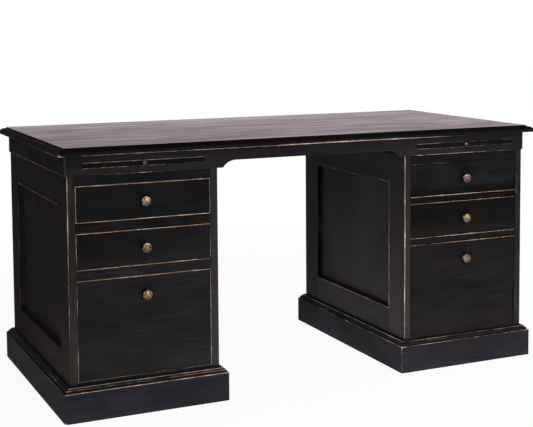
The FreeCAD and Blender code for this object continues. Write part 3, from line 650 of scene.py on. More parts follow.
def make_paint(name, specular=0.006, rough=0.42, streaks=0.20, drawn=0.35, low_colour=None, tints=(),
               knobs=()):
    """Black paint over wood: grain telling through, brown where it is thin, tan where it has rubbed through.

    streaks is how far paler streaks show, drawn how long the slow ones are. low_colour is (lower height,
    upper height, colour), and the colour lies below these heights. tints lists the same three, and above the
    heights the paint is multiplied by the colour, a painted shade or sheen by height. knobs are the heights
    of knobs, round which the paint goes near black: a painted shadow of each knob, with grime."""
    made, tree = new_material(f"{name}_paint_rubbed", Specular_IOR_Level=specular)
    dark, light = SHADES[name]
    wear = use(tree, WEAR_GROUP)
    grain = use(tree, GRAIN_GROUP, Figure_Scale=7.0, Fibre_Scale=240.0)
    cloud = use(tree, CLOUD_GROUP, Scale=4.5, Stretch=drawn)
    colour = blend(tree, cloud["Cloud"], dark, light)
    if low_colour:
        # Below the given heights another colour lies: on the edging, a painted sheen.
        colour = blend(tree, ramp(tree, place_along(tree, 2), *low_colour[:2]), low_colour[2], colour)
    pale = times(tree, times_plus(tree, cloud["Smears"], 0.7, 0.3),
                 ramp(tree, grain["Fibres"], 0.44, 0.66))
    colour = tinge(tree, colour, pale, streaks, [PALER * part for part in light[:3]] + [1])
    streak = times_plus(tree, cloud["Smears"], 0.3, grain["Fibres"])
    colour = tinge(tree, colour, cloud["Smears"], 0.08, BROWN_BLACK)
    colour = tinge(tree, colour, ramp(tree, streak, 0.52, 0.84), attribute(tree, "thin", "Fac"), THIN_BROWN)
    colour = tinge(tree, colour, cloud["Specks"], 0.04, THIN_BROWN)
    colour = tinge(tree, colour, wear["Halo"], 0.25, THIN_BROWN)
    # Above the given heights the paint is darker or lighter: painted shade and sheen by height.
    for low, high, tint in tints:
        colour = blend(tree, ramp(tree, place_along(tree, 2), low, high), colour, tint, "MULTIPLY")
    wood = blend(tree, wear["Tone"], RUB_TAN, RUB_CREAM)
    wood = tinge(tree, wood, grain["Pores"], 0.6, THIN_BROWN)
    colour = blend(tree, wear["Bare"], colour, wood)
    if knobs:
        # Round each knob the paint goes near black: a painted shadow of the knob, with grime.
        colour = blend(tree, knob_shadow_and_grime(tree, knobs), colour, KNOB_SHADE_BLACK)
    rough = times_plus(tree, cloud["Smears"], 0.10, rough)
    rough = times_plus(tree, grain["Fibres"], 0.08, rough)
    rough = times_plus(tree, wear["Bare"], 0.18, rough)
    height = times_plus(tree, grain["Fibres"], 0.5, times(tree, wear["Bare"], -0.8))
    height = times_plus(tree, grain["Pores"], -0.25, height)
    return finish_material(made, colour, rough, height, 0.00012)


def make_top():
    """Dark stained boards under a worn wax with a mauve bloom, smeared along the grain."""
    made, tree = new_material("stained_top", Specular_IOR_Level=0.36, Sheen_Weight=0.15, Sheen_Roughness=0.45,
                              Sheen_Tint=(0.90, 0.42, 0.70, 1))
    grain = use(tree, GRAIN_GROUP, Figure_Scale=6.0, Fibre_Scale=200.0)
    cloud = use(tree, CLOUD_GROUP, Scale=5.0, Stretch=0.15)
    colour = blend(tree, cloud["Smears"], (0.045, 0.023, 0.033, 1), (0.108, 0.064, 0.086, 1))
    colour = tinge(tree, colour, grain["Figure"], 0.35, (0.022, 0.013, 0.012, 1))
    colour = tinge(tree, colour, grain["Pores"], 0.5, (0.010, 0.007, 0.008, 1))
    rough = times_plus(tree, cloud["Smears"], -0.14, 0.44)
    rough = times_plus(tree, cloud["Cloud"], 0.10, rough)
    rough = times_plus(tree, ramp(tree, place_along(tree, 0), -0.45, 0.0), -0.05, rough)
    height = times_plus(tree, grain["Fibres"], 0.6, times(tree, grain["Pores"], -0.5))
    return finish_material(made, colour, rough, height, 0.00010)


def make_bare_wood():
    """Unpainted inside wood, with rings, fibres and pores."""
    made, tree = new_material("bare_wood", Specular_IOR_Level=0.35)
    grain = use(tree, GRAIN_GROUP, Figure_Scale=8.0, Fibre_Scale=180.0)
    cloud = use(tree, CLOUD_GROUP, Scale=4.0, Stretch=0.2)
    colour = blend(tree, grain["Figure"], (0.36, 0.215, 0.115, 1), (0.46, 0.30, 0.17, 1))
    colour = tinge(tree, colour, grain["Fibres"], 0.5, (0.27, 0.15, 0.075, 1))
    colour = tinge(tree, colour, grain["Pores"], 0.7, (0.12, 0.062, 0.03, 1))
    colour = tinge(tree, colour, cloud["Cloud"], 0.3, (0.30, 0.19, 0.11, 1))
    rough = times_plus(tree, grain["Fibres"], 0.2, 0.5)
    height = times_plus(tree, grain["Fibres"], 0.7, times(tree, grain["Pores"], -0.6))
    return finish_material(made, colour, rough, height, 0.00015)


def make_brass():
    """Aged brass: warm metal, dulled brown in patches and specked dark, brighter where hands rub it. On brass
    the thin attribute darkens it: dirt in the hollows, and painted shade on the dome and the lower half."""
    made, tree = new_material("aged_brass")
    place = object_place(tree)
    patina = ramp(tree, noise(tree, place, 150.0, 4.0, 0.6), 0.44, 0.62)
    specks = ramp(tree, noise(tree, place, 640.0, 2.0, 0.5), 0.60, 0.72)
    colour = blend(tree, patina, (0.62, 0.435, 0.290, 1), (0.060, 0.035, 0.020, 1))
    colour = tinge(tree, colour, specks, 0.7, (0.03, 0.018, 0.012, 1))
    # Darker where the thin attribute says: dirt in the knob's hollows, painted shade on its dome and lower
    # half.
    colour = tinge(tree, colour, attribute(tree, "thin", "Fac"), 0.85, (0.020, 0.012, 0.008, 1))
    metal = times_plus(tree, patina, -0.35, 0.92)
    rough = times_plus(tree, patina, 0.27, 0.15)
    return finish_material(made, colour, rough, maths(tree, "ADD", patina, specks), 0.00008, metal)


def make_iron():
    """Blackened iron with a dull sheen and rubbed high spots."""
    made, tree = new_material("black_iron", Specular_IOR_Level=0.2)
    rub = ramp(tree, noise(tree, object_place(tree), 260.0, 3.0, 0.6), 0.52, 0.72)
    colour = blend(tree, rub, (0.0095, 0.0090, 0.0096, 1), (0.110, 0.098, 0.092, 1))
    rough = times_plus(tree, rub, -0.12, 0.46)
    return finish_material(made, colour, rough, rub, 0.00006, times(tree, rub, 0.7))


# Most of these are copies of one black paint at other levels: painted light and shade for where they are
# used.
PAINT = make_paint("black", tints=DRAWER_HEIGHT_SHADE, knobs=[height for _, _, height in DRAWERS.values()])
EDGING_PAINT = make_paint("edging", 0.002, 0.4, low_colour=EDGING_LOW_SHEEN)
KNEEHOLE_PAINT = make_paint("kneehole")
CASE_PAINT = make_paint("case")
DOOR_PAINT = make_paint("door", tints=DOOR_SHADE_AND_SHEEN, knobs=DOOR_KNOBS)
# Near black paint for the rear wall of the panel recess on the kneehole sides: a painted shade in the recess.
RECESS_SHADE_PAINT = make_paint("recess_shade", 0.002, 0.5)
PLINTH_PAINT = make_paint("plinth")
OUTER_PAINT = make_paint("outer", rough=0.75, streaks=0.62, drawn=0.10)
TOP = make_top()
WOOD = make_bare_wood()
BRASS = make_brass()
IRON = make_iron()


def finish_piece(replaced, finish, skin, looks, body="desk", turn=0):
    """Makes the piece that replaces a node, gives it its materials and says what it rides on."""
    name = f"{replaced}_{finish}"
    mesh = skin.mesh(name, turn)
    for look in looks:
        mesh.materials.append(look)
    piece = bpy.data.objects.new(name, mesh)
    bpy.context.scene.collection.objects.link(piece)
    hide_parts(replaced)
    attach(piece, body)


# ---------------------------------------------------------------- the top and its case

def make_field():
    """The writing surface: stained wood with a painted edge."""
    skin = Skin(1)
    low = (-FIELD_HALF[0], -FIELD_HALF[1], TOP_UNDERSIDE)
    board(skin, low, (*FIELD_HALF, DESK_HEIGHT), 1.0, rub={"rest": 2.6}, looks={"top": 1})
    finish_piece("top_field", "stained", skin, [PAINT, TOP])


def make_edging():
    """Four mitred lengths: a flat, a quarter round, a sharp lower edge and the underside."""
    back = FIELD_HALF[0] - TOP_HALF[0]
    turn = np.radians(np.linspace(90, 0, 9))
    curve = np.stack([-EDGING_ROUND + EDGING_ROUND * np.cos(turn),
                      EDGING_TOP - EDGING_ROUND + EDGING_ROUND * np.sin(turn)], 1)
    corners = [(back, TOP_UNDERSIDE), (back, EDGING_TOP), *curve.tolist(), (0.0, TOP_UNDERSIDE)]
    line = section(corners, [0.0] * (len(corners) - 1) + [0.8], side=-1, closed=True)
    spots = [((x, -TOP_HALF[1], TOP_UNDERSIDE), reach, depth) for x, reach, depth in
             ((-800, 8, 7.0), (-480, 380, 1.7), (150, 270, 4.1))]
    for side, word in enumerate(("right", "rear", "left", "front")):
        skin = Skin(10 + side, spots)
        ring(skin, *UNIT, (0, 0, 0), TOP_HALF, line, (len(corners) - 1,), ((1.4, 1.2, 1.5, 2.4),), corner=1.5,
             corner_rub=4.0, sides=(side,), grains=(1, 0), capped=True, parts=41)
        finish_piece(f"edge_moulding_{word}", "painted", skin, [EDGING_PAINT])


def apron_lift(x):
    """How far the frieze's lower edge lies above its underside: 0 over the pedestals, an arc, the apron."""
    run = APRON_FOOT - APRON_START
    radius = (run ** 2 + APRON_RISE ** 2) / (2 * APRON_RISE)
    inward = np.clip(np.abs(x) - APRON_START, 0, run)
    return np.where(np.abs(x) < APRON_FOOT, APRON_RISE - radius + np.sqrt(radius ** 2 - inward ** 2), 0.0)


def apron_warp(points, ways):
    """Lifts the lower part of the board by the apron's curve, fading out towards its top."""
    fade_height, fade_over, step = 752.0, 50.0, 0.4
    x, z = points[..., 0], points[..., 2]
    fade = np.clip((fade_height - z) / fade_over, 0, 1)
    slope = (apron_lift(x + step) - apron_lift(x - step)) / (2 * step)
    bent, leaning = points.copy(), ways.copy()
    bent[..., 2] += apron_lift(x) * fade
    leaning[..., 0] -= slope * fade * ways[..., 2]
    return bent, leaning / np.linalg.norm(leaning, axis=-1, keepdims=True)


def make_frieze(word, turn):
    """A long board with two slots for the slides and a shaped apron."""
    rub = {"front bottom": 2.4, "front left": 1.1, "rest": 5.0, "opening top": 4.0, "opening bottom": 3.0,
           "opening left": 4.0, "opening right": 3.0}
    spots = [((x, -CASE_FACE, z), reach, depth) for x, z, reach, depth in
             ((545, 698, 260, 1.9), (690, 698, 60, 1.4), (774, 698, 44, -3.2), (150, 719, 130, 0.3),
              (-560, 698, 190, 0.95))]
    skin = Skin(20 + turn, spots)
    curve = [100, APRON_START, 265, 270, 276, 282, 288, 293, 297, 300, 301.6, APRON_FOOT, 302.4,
             SLOT[0] - ARRIS, MIDDLE, SLOT[1] + ARRIS]
    xs = sorted([-x for x in curve] + curve)
    zs = [SLOT[2] - ARRIS, SLOT[3] + ARRIS]
    holes = [(("front", "back"), SLOT[2:], edges) for edges in ((-SLOT[1], -SLOT[0]), (SLOT[0], SLOT[1]))]
    board(skin, (-CASE_END, -CASE_FACE, CASE_UNDERSIDE), (CASE_END, -CASE_FACE + BOARD_THICK, TOP_UNDERSIDE),
          rub=rub, breaks=(xs, (), zs), holes=holes, warp=apron_warp, thin={"front": 0.08})
    line = section([(ARRIS, 0), (0, 0), (0, -BOARD_THICK), (ARRIS, -BOARD_THICK)], [0, ARRIS, ARRIS, 0])
    half = ((SLOT[1] - SLOT[0]) / 2, (SLOT[3] - SLOT[2]) / 2)
    edges = [rub_of(rub, "opening", name)[0] for name in ("right", "top", "left", "bottom")]
    for sign in (-1, 1):
        middle = (sign * MIDDLE, (SLOT[2] + SLOT[3]) / 2, CASE_FACE)
        ring(skin, UNIT[0], UNIT[2], -UNIT[1], middle, half, line, (1,), (edges,), grains=(2, 0))
    finish_piece(f"frieze_{word}", "painted", skin, [CASE_PAINT], turn=turn)


def make_slide_bed(word, sign, reach):
    """A bed for two slides: a floor, a wall on either side of their groove, and a stop across its middle."""
    skin = Skin(33 + sign)
    x_low, x_high = sorted((sign * (CASE_END - BOARD_THICK), sign * PEDESTAL_IN))
    left, right = sign * MIDDLE - GROOVE_HALF, sign * MIDDLE + GROOVE_HALF
    looks = {"rest": 1, "right" if sign < 0 else "left": 0}
    radius, stop_half = 0.6, 10
    board(skin, (x_low, -reach, CASE_UNDERSIDE), (x_high, reach, SLOT[2]), radius, 1, looks=looks)
    for low, high in ((x_low, left), (right, x_high)):
        board(skin, (low, -reach, SLOT[2]), (high, reach, TOP_UNDERSIDE), radius, 1, looks=looks)
    board(skin, (left, -stop_half, SLOT[2]), (right, stop_half, TOP_UNDERSIDE), radius, looks={"rest": 1})
    finish_piece(f"slide_bed_{word}", "wood", skin, [PAINT, WOOD])


def make_case():
    """The frieze boards and the grooved beds that carry the slides."""
    for word, turn in FACES:
        make_frieze(word, turn)
    reach = CASE_FACE - BOARD_THICK
    for sign, word, paint in ((-1, "left", OUTER_PAINT), (1, "right", CASE_PAINT)):
        x_low, x_high = sorted((sign * CASE_END, sign * (CASE_END - BOARD_THICK)))
        skin = Skin(30 + sign)
        board(skin, (x_low, -reach, CASE_UNDERSIDE), (x_high, reach, TOP_UNDERSIDE), grain=1,
              rub={f"{word} bottom": 0.0, "rest": FAR}, thin={word: 0.08})
        finish_piece(f"frieze_{word}_end", "painted", skin, [paint])
        make_slide_bed(word, sign, reach)


# ---------------------------------------------------------------- pedestals

def make_side(word, place, sign, paint, rub, thin):
    """A framed side: stiles and rails round an opening, a wall with a small moulding, and the sunk panel."""
    reach, foot, head = PANEL
    middle = (foot + head) / 2
    spots = [((sign * PEDESTAL_IN, -PEDESTAL_FACE, middle), 150, 1.4)] if word == "right" else []
    skin = Skin(sum(map(ord, word + place)), spots)
    outer = place == "outer"
    outward = sign if outer else -sign
    face = sign * (PEDESTAL_OUT if outer else PEDESTAL_IN)
    x_low, x_high = sorted((face, sign * (OPEN_OUT if outer else OPEN_IN)))
    recess, away = ("left", "right") if outward < 0 else ("right", "left")
    bare = PEDESTAL_FACE - PAINTED_DEPTH
    breaks = ((), (-bare, -reach - ARRIS, reach + ARRIS, bare), (foot - ARRIS, middle, head + ARRIS))
    board(skin, (x_low, -PEDESTAL_FACE, 0), (x_high, PEDESTAL_FACE, CASE_UNDERSIDE), grain=2, rub=rub,
          breaks=breaks, holes=[((recess,), (-reach, reach), (foot, head))], rail_grain=1,
          looks={away: 1}, thin={recess: thin, "rest": 0.05}, painted_from=bare)
    lip, step = 1.5, 8.5
    swell = np.radians(np.linspace(0, 90, 6))
    curve = np.stack([-lip - (PANEL_INSET - lip) * np.sin(swell),
                      -step - (PANEL_DEPTH - step) * (1 - np.cos(swell))], 1).tolist()
    line = section([(ARRIS, 0), (0, 0), (0, -step), *curve, (-PANEL_INSET, -PANEL_DEPTH)],
                   [0, ARRIS] + [0] * 8)
    edges = [rub_of(rub, "opening", name)[0] for name in ("back", "top", "front", "bottom")]
    inner = [value + 1.4 for value in edges]
    # On the kneehole sides the recess's rear wall takes the near black paint, a painted shade.
    for sides, look in (((0,), 0 if outer else 2), ((1, 2, 3), 0)):
        ring(skin, UNIT[1], UNIT[2], outward * UNIT[0], (0, middle, outward * face),
             (reach, (head - foot) / 2), line, (1, 3), (edges, inner), grains=(2, 1), sides=sides, thin=thin,
             look=look)
    y, z = np.meshgrid([-reach + PANEL_INSET, reach - PANEL_INSET], [foot + PANEL_INSET, head - PANEL_INSET],
                       indexing="ij")
    sunk = np.stack([np.full((2, 2), face - outward * PANEL_DEPTH), y, z], -1)
    skin.grid(sunk, outward * UNIT[0], FAR, 2, thin)
    finish_piece(f"{word}_pedestal_{place}_side", "painted", skin, [paint, WOOD, RECESS_SHADE_PAINT])


def make_plinth(word, sign, edges, spots):
    """A plinth: an upright face, a ledge, and a stepped moulding that runs in to the pedestal above it.

    edges gives three of its arrises, from the top down, their wear offsets towards +x, +y, -x and -y."""
    moulding = [(5, 101.5), (10.5, 98.5), (12, 95.5), (16, 93.5), (17.5, 90.5), (17.8, 86.3)]
    corners = [(0, 0), (0, 102), *moulding, (23, BASE_BOTTOM), (23, 12), (23, 0)]
    radii = [0, 0, 0, 0.5, 0, 0.6, 0, 0, 0.8, 0, 0.8]
    line = section(corners, radii, side=-1, closed=True)
    skin = Skin(40 + sign, spots)
    ring(skin, *UNIT, (sign * MIDDLE, 0, 0), (MIDDLE - PEDESTAL_IN, PEDESTAL_FACE), line, (3, 5, 8, 10),
         (*edges, [KEPT] * 4), corner=1.6, corner_rub=KEPT, grains=(1, 0), thin=0.04, parts=17)
    finish_piece(f"{word}_pedestal_plinth", "painted", skin, [PLINTH_PAINT])


def make_rail(word, name, turn):
    """The rail between two drawers, with the bare dust board behind it."""
    top = RAIL_TOPS[name]
    skin = Skin(50 + int(top) + turn)
    back = -PEDESTAL_FACE + RAIL_DEEP
    board(skin, (-OPEN_OUT, -PEDESTAL_FACE, top - RAIL_HIGH), (-OPEN_IN, back, top), 1.0, rub={"rest": 4.0},
          thin={"front": 0.20}, looks={"back": 1, "top": 1, "bottom": 1})
    board(skin, (-OPEN_OUT, back, top - DUST_THICK), (-OPEN_IN, -DIVIDER_HALF, top), 0.4, looks={"rest": 1})
    finish_piece(f"{word}_pedestal_{name}_rail", "painted", skin, [PAINT, WOOD], turn=turn)


def make_pedestals():
    """Both pedestals, each with its own rubbed arrises."""
    outer_left = {"left front": (2.7, -1.15), "left back": 3.0, "rest": 5.0,
                  "opening top": -0.2, "opening front": 4.0, "opening back": 1.3, "opening bottom": 4.0}
    inner_left = {"right front": 3.4, "right back": 1.0, "rest": 5.0,
                  "opening top": 0.8, "opening front": 1.4, "opening back": 1.2, "opening bottom": 0.6}
    inner_right = {"left front": (1.2, -0.4), "left back": 1.6, "rest": 5.0,
                   "opening top": 1.35, "opening front": -0.5, "opening back": 3.0, "opening bottom": 0.6}
    outer_right = {"right front": 3.5, "right back": -0.4, "rest": 5.0,
                   "opening top": 0.2, "opening front": 1.2, "opening back": 1.6, "opening bottom": 0.8}
    make_side("left", "outer", -1, OUTER_PAINT, outer_left, 0.16)
    make_side("left", "inner", -1, KNEEHOLE_PAINT, inner_left, 0.06)
    make_side("right", "inner", 1, KNEEHOLE_PAINT, inner_right, 0.06)
    make_side("right", "outer", 1, CASE_PAINT, outer_right, 0.14)
    for sign, word, turn in ((-1, "left", 0), (1, "right", 1)):
        x_low, x_high = sorted((sign * OPEN_OUT, sign * OPEN_IN))
        for name, low, high in (("top_board", OPEN_TOP, CASE_UNDERSIDE),
                                ("base_board", BASE_BOTTOM, OPEN_BOTTOM)):
            skin = Skin(60 + sign + int(low))
            board(skin, (x_low, -PEDESTAL_FACE, low), (x_high, PEDESTAL_FACE, high), 1.0, thin={"rest": 0.08},
                  rub={"rest": 4.0}, looks={"top": 1, "bottom": 1})
            finish_piece(f"{word}_pedestal_{name}", "painted", skin, [PAINT, WOOD])
        skin = Skin(70 + sign)
        board(skin, (x_low, -DIVIDER_HALF, OPEN_BOTTOM), (x_high, DIVIDER_HALF, OPEN_TOP), 0.4, 2)
        finish_piece(f"{word}_pedestal_centre_divider", "wood", skin, [WOOD])
        for name in RAIL_TOPS:
            make_rail(word, name, turn)
    edges_left = ((2.0, 1.6, 1.9, 0.3), (2.6, 2.4, 1.5, 0.9), (1.6, 1.2, 1.5, 0.15))
    edges_right = ((1.6, 1.2, 0.6, 0.9), (2.6, 2.0, 1.6, 1.6), (1.2, 1.0, 1.1, 0.9))
    make_plinth("left", -1, edges_left, [((-793, -390, 0), 7, 6.0), ((-786, -383, 93), 9, 1.0)])
    make_plinth("right", 1, edges_right, [((297, -390, 43), (7, 7, 300), 2.5)])


# ---------------------------------------------------------------- drawers, doors, slides

DRAWER_RUBS = {"upper": (-0.2, 0.35, 0.1), "middle": (0.7, 0.6, 0.6), "deep": (0.8, 0.4, 1.1)}


def make_drawer(face, name, turn):
    """A drawer: painted front, and a bare box of two sides, a back and a raised bottom."""
    bottom, top, _ = DRAWERS[name]
    body = f"{face}_{name}_drawer"
    start = -PEDESTAL_FACE + FRONT_THICK
    skin = Skin(80 + int(top) + turn)
    rub = dict(zip(("front left", "front right", "front bottom"), DRAWER_RUBS[name]))
    rub.update({"front top": -0.3, "rest": KEPT})
    board(skin, (-OPEN_OUT + FRONT_GAP, -PEDESTAL_FACE, bottom + FRONT_GAP),
          (-OPEN_IN - FRONT_GAP, start, top - FRONT_GAP), rub=rub, looks={"back": 1}, thin={"front": 0.03})
    finish_piece(f"{body}_front", "painted", skin, [PAINT, WOOD], body, turn)
    skin = Skin(90 + int(top) + turn)
    left, right = -OPEN_OUT + 1, -OPEN_IN - 1
    foot, rim = bottom + 0.3, top - 12
    floor_low, floor_high = foot + 6, foot + 12
    back = BOX_END - BOX_WALL
    for low, high, radius, grain in (
        ((left, start, foot), (left + BOX_WALL, BOX_END, rim), 0.8, 1),
        ((right - BOX_WALL, start, foot), (right, BOX_END, rim), 0.8, 1),
        ((left + BOX_WALL, back, foot), (right - BOX_WALL, BOX_END, rim), 0.8, 0),
        ((left + BOX_WALL, start, floor_low), (right - BOX_WALL, back, floor_high), 0.3, 0),
    ):
        board(skin, low, high, radius, grain)
    finish_piece(f"{body}_box", "wood", skin, [WOOD], body, turn)


def make_door(face, turn):
    """A cupboard door with two sunk bands that divide it into three dummy drawer fronts."""
    # The spot rubs the door's top edge near its left end to a tan line: partly wear, partly a painted
    # highlight along that edge.
    skin = Skin(100 + turn, [((DOOR_LEFT, -PEDESTAL_FACE, 670), 60, 2.2)])
    front, back, sunk = PEDESTAL_FACE, PEDESTAL_FACE - FRONT_THICK, PEDESTAL_FACE - BAND_DEPTH
    (high_foot, high_head), (low_foot, low_head) = BANDS
    bottom, top = OPEN_BOTTOM + FRONT_GAP, OPEN_TOP - FRONT_GAP
    corners = [(back, bottom), (front, bottom), (front, low_foot), (sunk, low_foot), (sunk, low_head),
               (front, low_head), (front, high_foot), (sunk, high_foot), (sunk, high_head),
               (front, high_head), (front, top), (back, top)]
    line = section(corners, [0.8, 1.2, 1.0, 0, 0, 1.0, 1.0, 0, 0, 1.0, 1.2, 0.8], closed=True)
    prism(skin, -UNIT[1], UNIT[2], UNIT[0], DOOR_LEFT, DOOR_RIGHT, line, (1, 2, 5, 6, 9, 10),
          (3.4, 0.65, 0.6, 0.25, 0.1, 2.8), thin=0.03)
    finish_piece(f"{face}_door", "painted", skin, [DOOR_PAINT], f"{face}_door", turn)


def slide_places(turn):
    """The names of the two slides of a face with their places before the turn."""
    return (("right", -MIDDLE), ("left", MIDDLE)) if turn else (("left", -MIDDLE), ("right", MIDDLE))


def make_slide(face, word, x, turn):
    """A pull-out slide, painted, with rubbed edges and a batten on its back."""
    skin = Skin(110 + int(x > 0) + 3 * turn)
    upper_rub = (0.2, -0.2) if word == "left" else (0.0, 0.9)
    rub = {"front top": upper_rub, "front bottom": 1.3, "front left": 4.0, "front right": 3.0, "rest": 3.0}
    left, right = x - SLIDE_HALF, x + SLIDE_HALF
    board(skin, (left, -CASE_FACE, SLIDE_LOW), (right, SLIDE_BACK, SLIDE_HIGH), 1.0, rub=rub,
          looks={"bottom": 1, "back": 1})
    board(skin, (left, BATTEN[0], SLIDE_HIGH), (right, BATTEN[1], TOP_UNDERSIDE - 0.3), 0.8,
          looks={"rest": 1})
    finish_piece(f"{face}_{word}_slide", "painted", skin, [PAINT, WOOD], f"{face}_{word}_slide", turn)


KNOB_LINE = [(0, 0), (7.4, 0), (7.5, 1.1), (7.0, 2.0), (6.1, 2.6), (5.2, 3.5), (4.8, 5.4), (4.9, 7.8),
             (5.9, 10.4), (8.4, 12.9), (11.4, 14.8), (13.2, 16.1), (14.0, 17.5), (13.8, 19.0), (12.9, 20.2),
             (11.7, 20.8), (11.0, 20.9), (10.4, 21.4), (9.3, 22.6), (7.3, 24.1), (5.0, 25.2), (2.5, 25.85),
             (0, 26)]


def knob(skin, x, z, face_y, size=1.0, length=1.0, dull=0.0):
    """A turned knob: beaded rose, hollow neck, flared head with a groove inside its rim, domed middle.

    Darkening is 1 in the neck, falls off up the flare and is a bell round the groove's radius: dirt in the
    hollows. It is 0.45 on the dome and higher on the lower half: painted shade. dull adds some everywhere."""
    profile = smooth_line(KNOB_LINE, 3)
    radius, height = profile.T
    groove = np.exp(-((radius - 10.9) / 0.9) ** 2) * (height > 19)
    # the dome's darker middle and the darker lower half below are painted shade
    dome = 0.45 * np.clip((10.5 - radius) / 2, 0, 1) * (height > 21)
    neck = np.clip((15.5 - height) / 5, 0, 1)
    lower = np.clip(0.15 - np.cos(np.linspace(0, 2 * math.pi, KNOB_SIDES + 1)), 0, 1)
    dirt_and_shade = np.clip((groove + dome + neck + dull)[:, None] + 0.38 * lower, 0, 1)
    profile = profile * (size, length)
    profile[:, 0] = np.maximum(profile[:, 0], 0)
    profile[0, 0] = profile[-1, 0] = 0
    turned(skin, (x, -face_y, z), 1, -1, profile, KNOB_SIDES, dirt_and_shade)


def make_knobs(face, turn):
    """The knobs of a face's drawers, door and slides."""
    for name, (_, _, height) in DRAWERS.items():
        skin = Skin(120)
        knob(skin, -MIDDLE, height, PEDESTAL_FACE)
        finish_piece(f"{face}_{name}_drawer_knob", "brass", skin, [BRASS], f"{face}_{name}_drawer", turn)
    skin = Skin(121)
    for height in DOOR_KNOBS:
        knob(skin, MIDDLE, height, PEDESTAL_FACE)
    finish_piece(f"{face}_door_knobs", "brass", skin, [BRASS], f"{face}_door", turn)
    for word, x in slide_places(turn):
        skin = Skin(122)
        knob(skin, x, (SLIDE_LOW + SLIDE_HIGH) / 2, CASE_FACE, *SLIDE_KNOB)
        finish_piece(f"{face}_{word}_slide_knob", "brass", skin, [BRASS], f"{face}_{word}_slide", turn)


def hinge_leaf(skin, on_frame, foot):
    """One leaf: its plate, its share of the knuckles, tabs to the plate, screws, and the pin's two ends."""
    x, y = HINGE_AXIS
    side = 1 if on_frame else -1
    gap, back = 0.15, 1.75
    near, far = sorted((x + side * gap, x + side * back))
    plate_start, plate_end = -y + 4.3, -y + 26.3
    pitch = HINGE_LONG / KNUCKLES
    board(skin, (near, plate_start, foot), (far, plate_end, foot + HINGE_LONG), 0.3, 2)
    for number in range(0 if on_frame else 1, KNUCKLES, 2):
        low = foot + pitch * number + gap
        high = foot + pitch * (number + 1) - gap
        barrel = np.array([(0, low), (3.4, low), (3.85, low + 0.15), (4, low + 0.6), (4, high - 0.6),
                           (3.85, high - 0.15), (3.4, high), (0, high)])
        turned(skin, (x, -y, 0), 2, 1, barrel, 24)
        board(skin, (near, -y, low), (far, plate_start, high), 0.2, 2)
    if on_frame:
        cap = np.array([(0, -0.15), (3, -0.15), (3, 0.5), (2.85, 1.05), (2.3, 1.55), (1.3, 1.9), (0, 2)])
        for end, sign in ((foot, -1), (foot + HINGE_LONG, 1)):
            turned(skin, (x, -y, end), 2, sign, cap, 24)
    screw = np.array([(0, 0), (3.2, 0), (3.1, 0.06), (2.4, 0.11), (0, 0.12)])
    for part, across in ((0.14, 15.5), (0.5, 10.5), (0.5, 20.5), (0.86, 15.5)):
        turned(skin, (x + side * gap, -y + across, foot + HINGE_LONG * part), 0, -side, screw, 20)


def make_hinges():
    """The leaves on each door, and all leaves on the frame as one piece."""
    for face, turn in FACES:
        skin = Skin(130)
        for foot in HINGES:
            hinge_leaf(skin, False, foot)
        finish_piece(f"{face}_door_hinge_leaves", "black", skin, [IRON], f"{face}_door", turn)
    skin = Skin(131)
    for foot in HINGES:
        hinge_leaf(skin, True, foot)
    skin.repeat_turned()
    finish_piece("frame_hinge_leaves", "black", skin, [IRON])


make_field()
make_edging()
make_case()
make_pedestals()
for face, turn in FACES:
    for name in DRAWERS:
        make_drawer(face, name, turn)
    make_door(face, turn)
    for word, x in slide_places(turn):
        make_slide(face, word, x, turn)
    make_knobs(face, turn)
make_hinges()


# ---------------------------------------------------------------- floor, light, camera

def looked_at(tree):
    """1 where the camera sees a surface straight, in a reflection or through glass, and the ray's kinds."""
    seen = node(tree, "ShaderNodeLightPath").outputs
    part = maths(tree, "MAXIMUM", seen["Is Camera Ray"], seen["Is Glossy Ray"])
    return maths(tree, "MAXIMUM", part, seen["Is Transmission Ray"]), seen


def glow(tree, kind, strength):
    """A white emission or background of a strength."""
    return node(tree, kind, {"Color": (1, 1, 1, 1), "Strength": strength}).outputs[0]


def make_floor():
    """A white floor that keeps a soft shadow, fades to plain white further out, and sends up more light from
    a pool under the desk."""
    reach = 30.0
    fade_start, fade_end, shadow_share = 1.5, 3.0, 0.94
    pool_place, pool_shape, pool_inner, pool_outer, pool_light = (-0.2, 0.6, 0), (0.8, 1, 1), 0.6, 1.3, 4.4
    mesh = bpy.data.meshes.new("floor")
    mesh.from_pydata([(-reach, -reach, 0), (reach, -reach, 0), (reach, reach, 0), (-reach, reach, 0)], [],
                     [(0, 1, 2, 3)])
    floor = bpy.data.objects.new("floor", mesh)
    bpy.context.scene.collection.objects.link(floor)
    made = bpy.data.materials.new("white_floor")
    made.use_nodes = True
    tree = made.node_tree
    tree.nodes.clear()
    part, seen = looked_at(tree)
    place = object_place(tree)
    away = vector_maths(tree, "LENGTH", place, (0, 0, 0), "Value")
    white = times(tree, part, ramp(tree, away, fade_start, fade_end, shadow_share, 1.0))
    close = vector_maths(tree, "MULTIPLY", vector_maths(tree, "ADD", place, pool_place), pool_shape)
    close = vector_maths(tree, "LENGTH", close, (0, 0, 0), "Value")
    bounce = times(tree, ramp(tree, close, pool_inner, pool_outer, 1.0, 0.0), seen["Is Diffuse Ray"])
    matt = node(tree, "ShaderNodeBsdfDiffuse", {"Color": (0.82, 0.82, 0.82, 1)}).outputs[0]
    lit = glow(tree, "ShaderNodeEmission", pool_light)
    matt = node(tree, "ShaderNodeMixShader", {0: bounce, 1: matt, 2: lit}).outputs[0]
    plain = glow(tree, "ShaderNodeEmission", 1.0)
    mixed = node(tree, "ShaderNodeMixShader", {0: white, 1: matt, 2: plain}).outputs[0]
    node(tree, "ShaderNodeOutputMaterial", {0: mixed})
    mesh.materials.append(made)


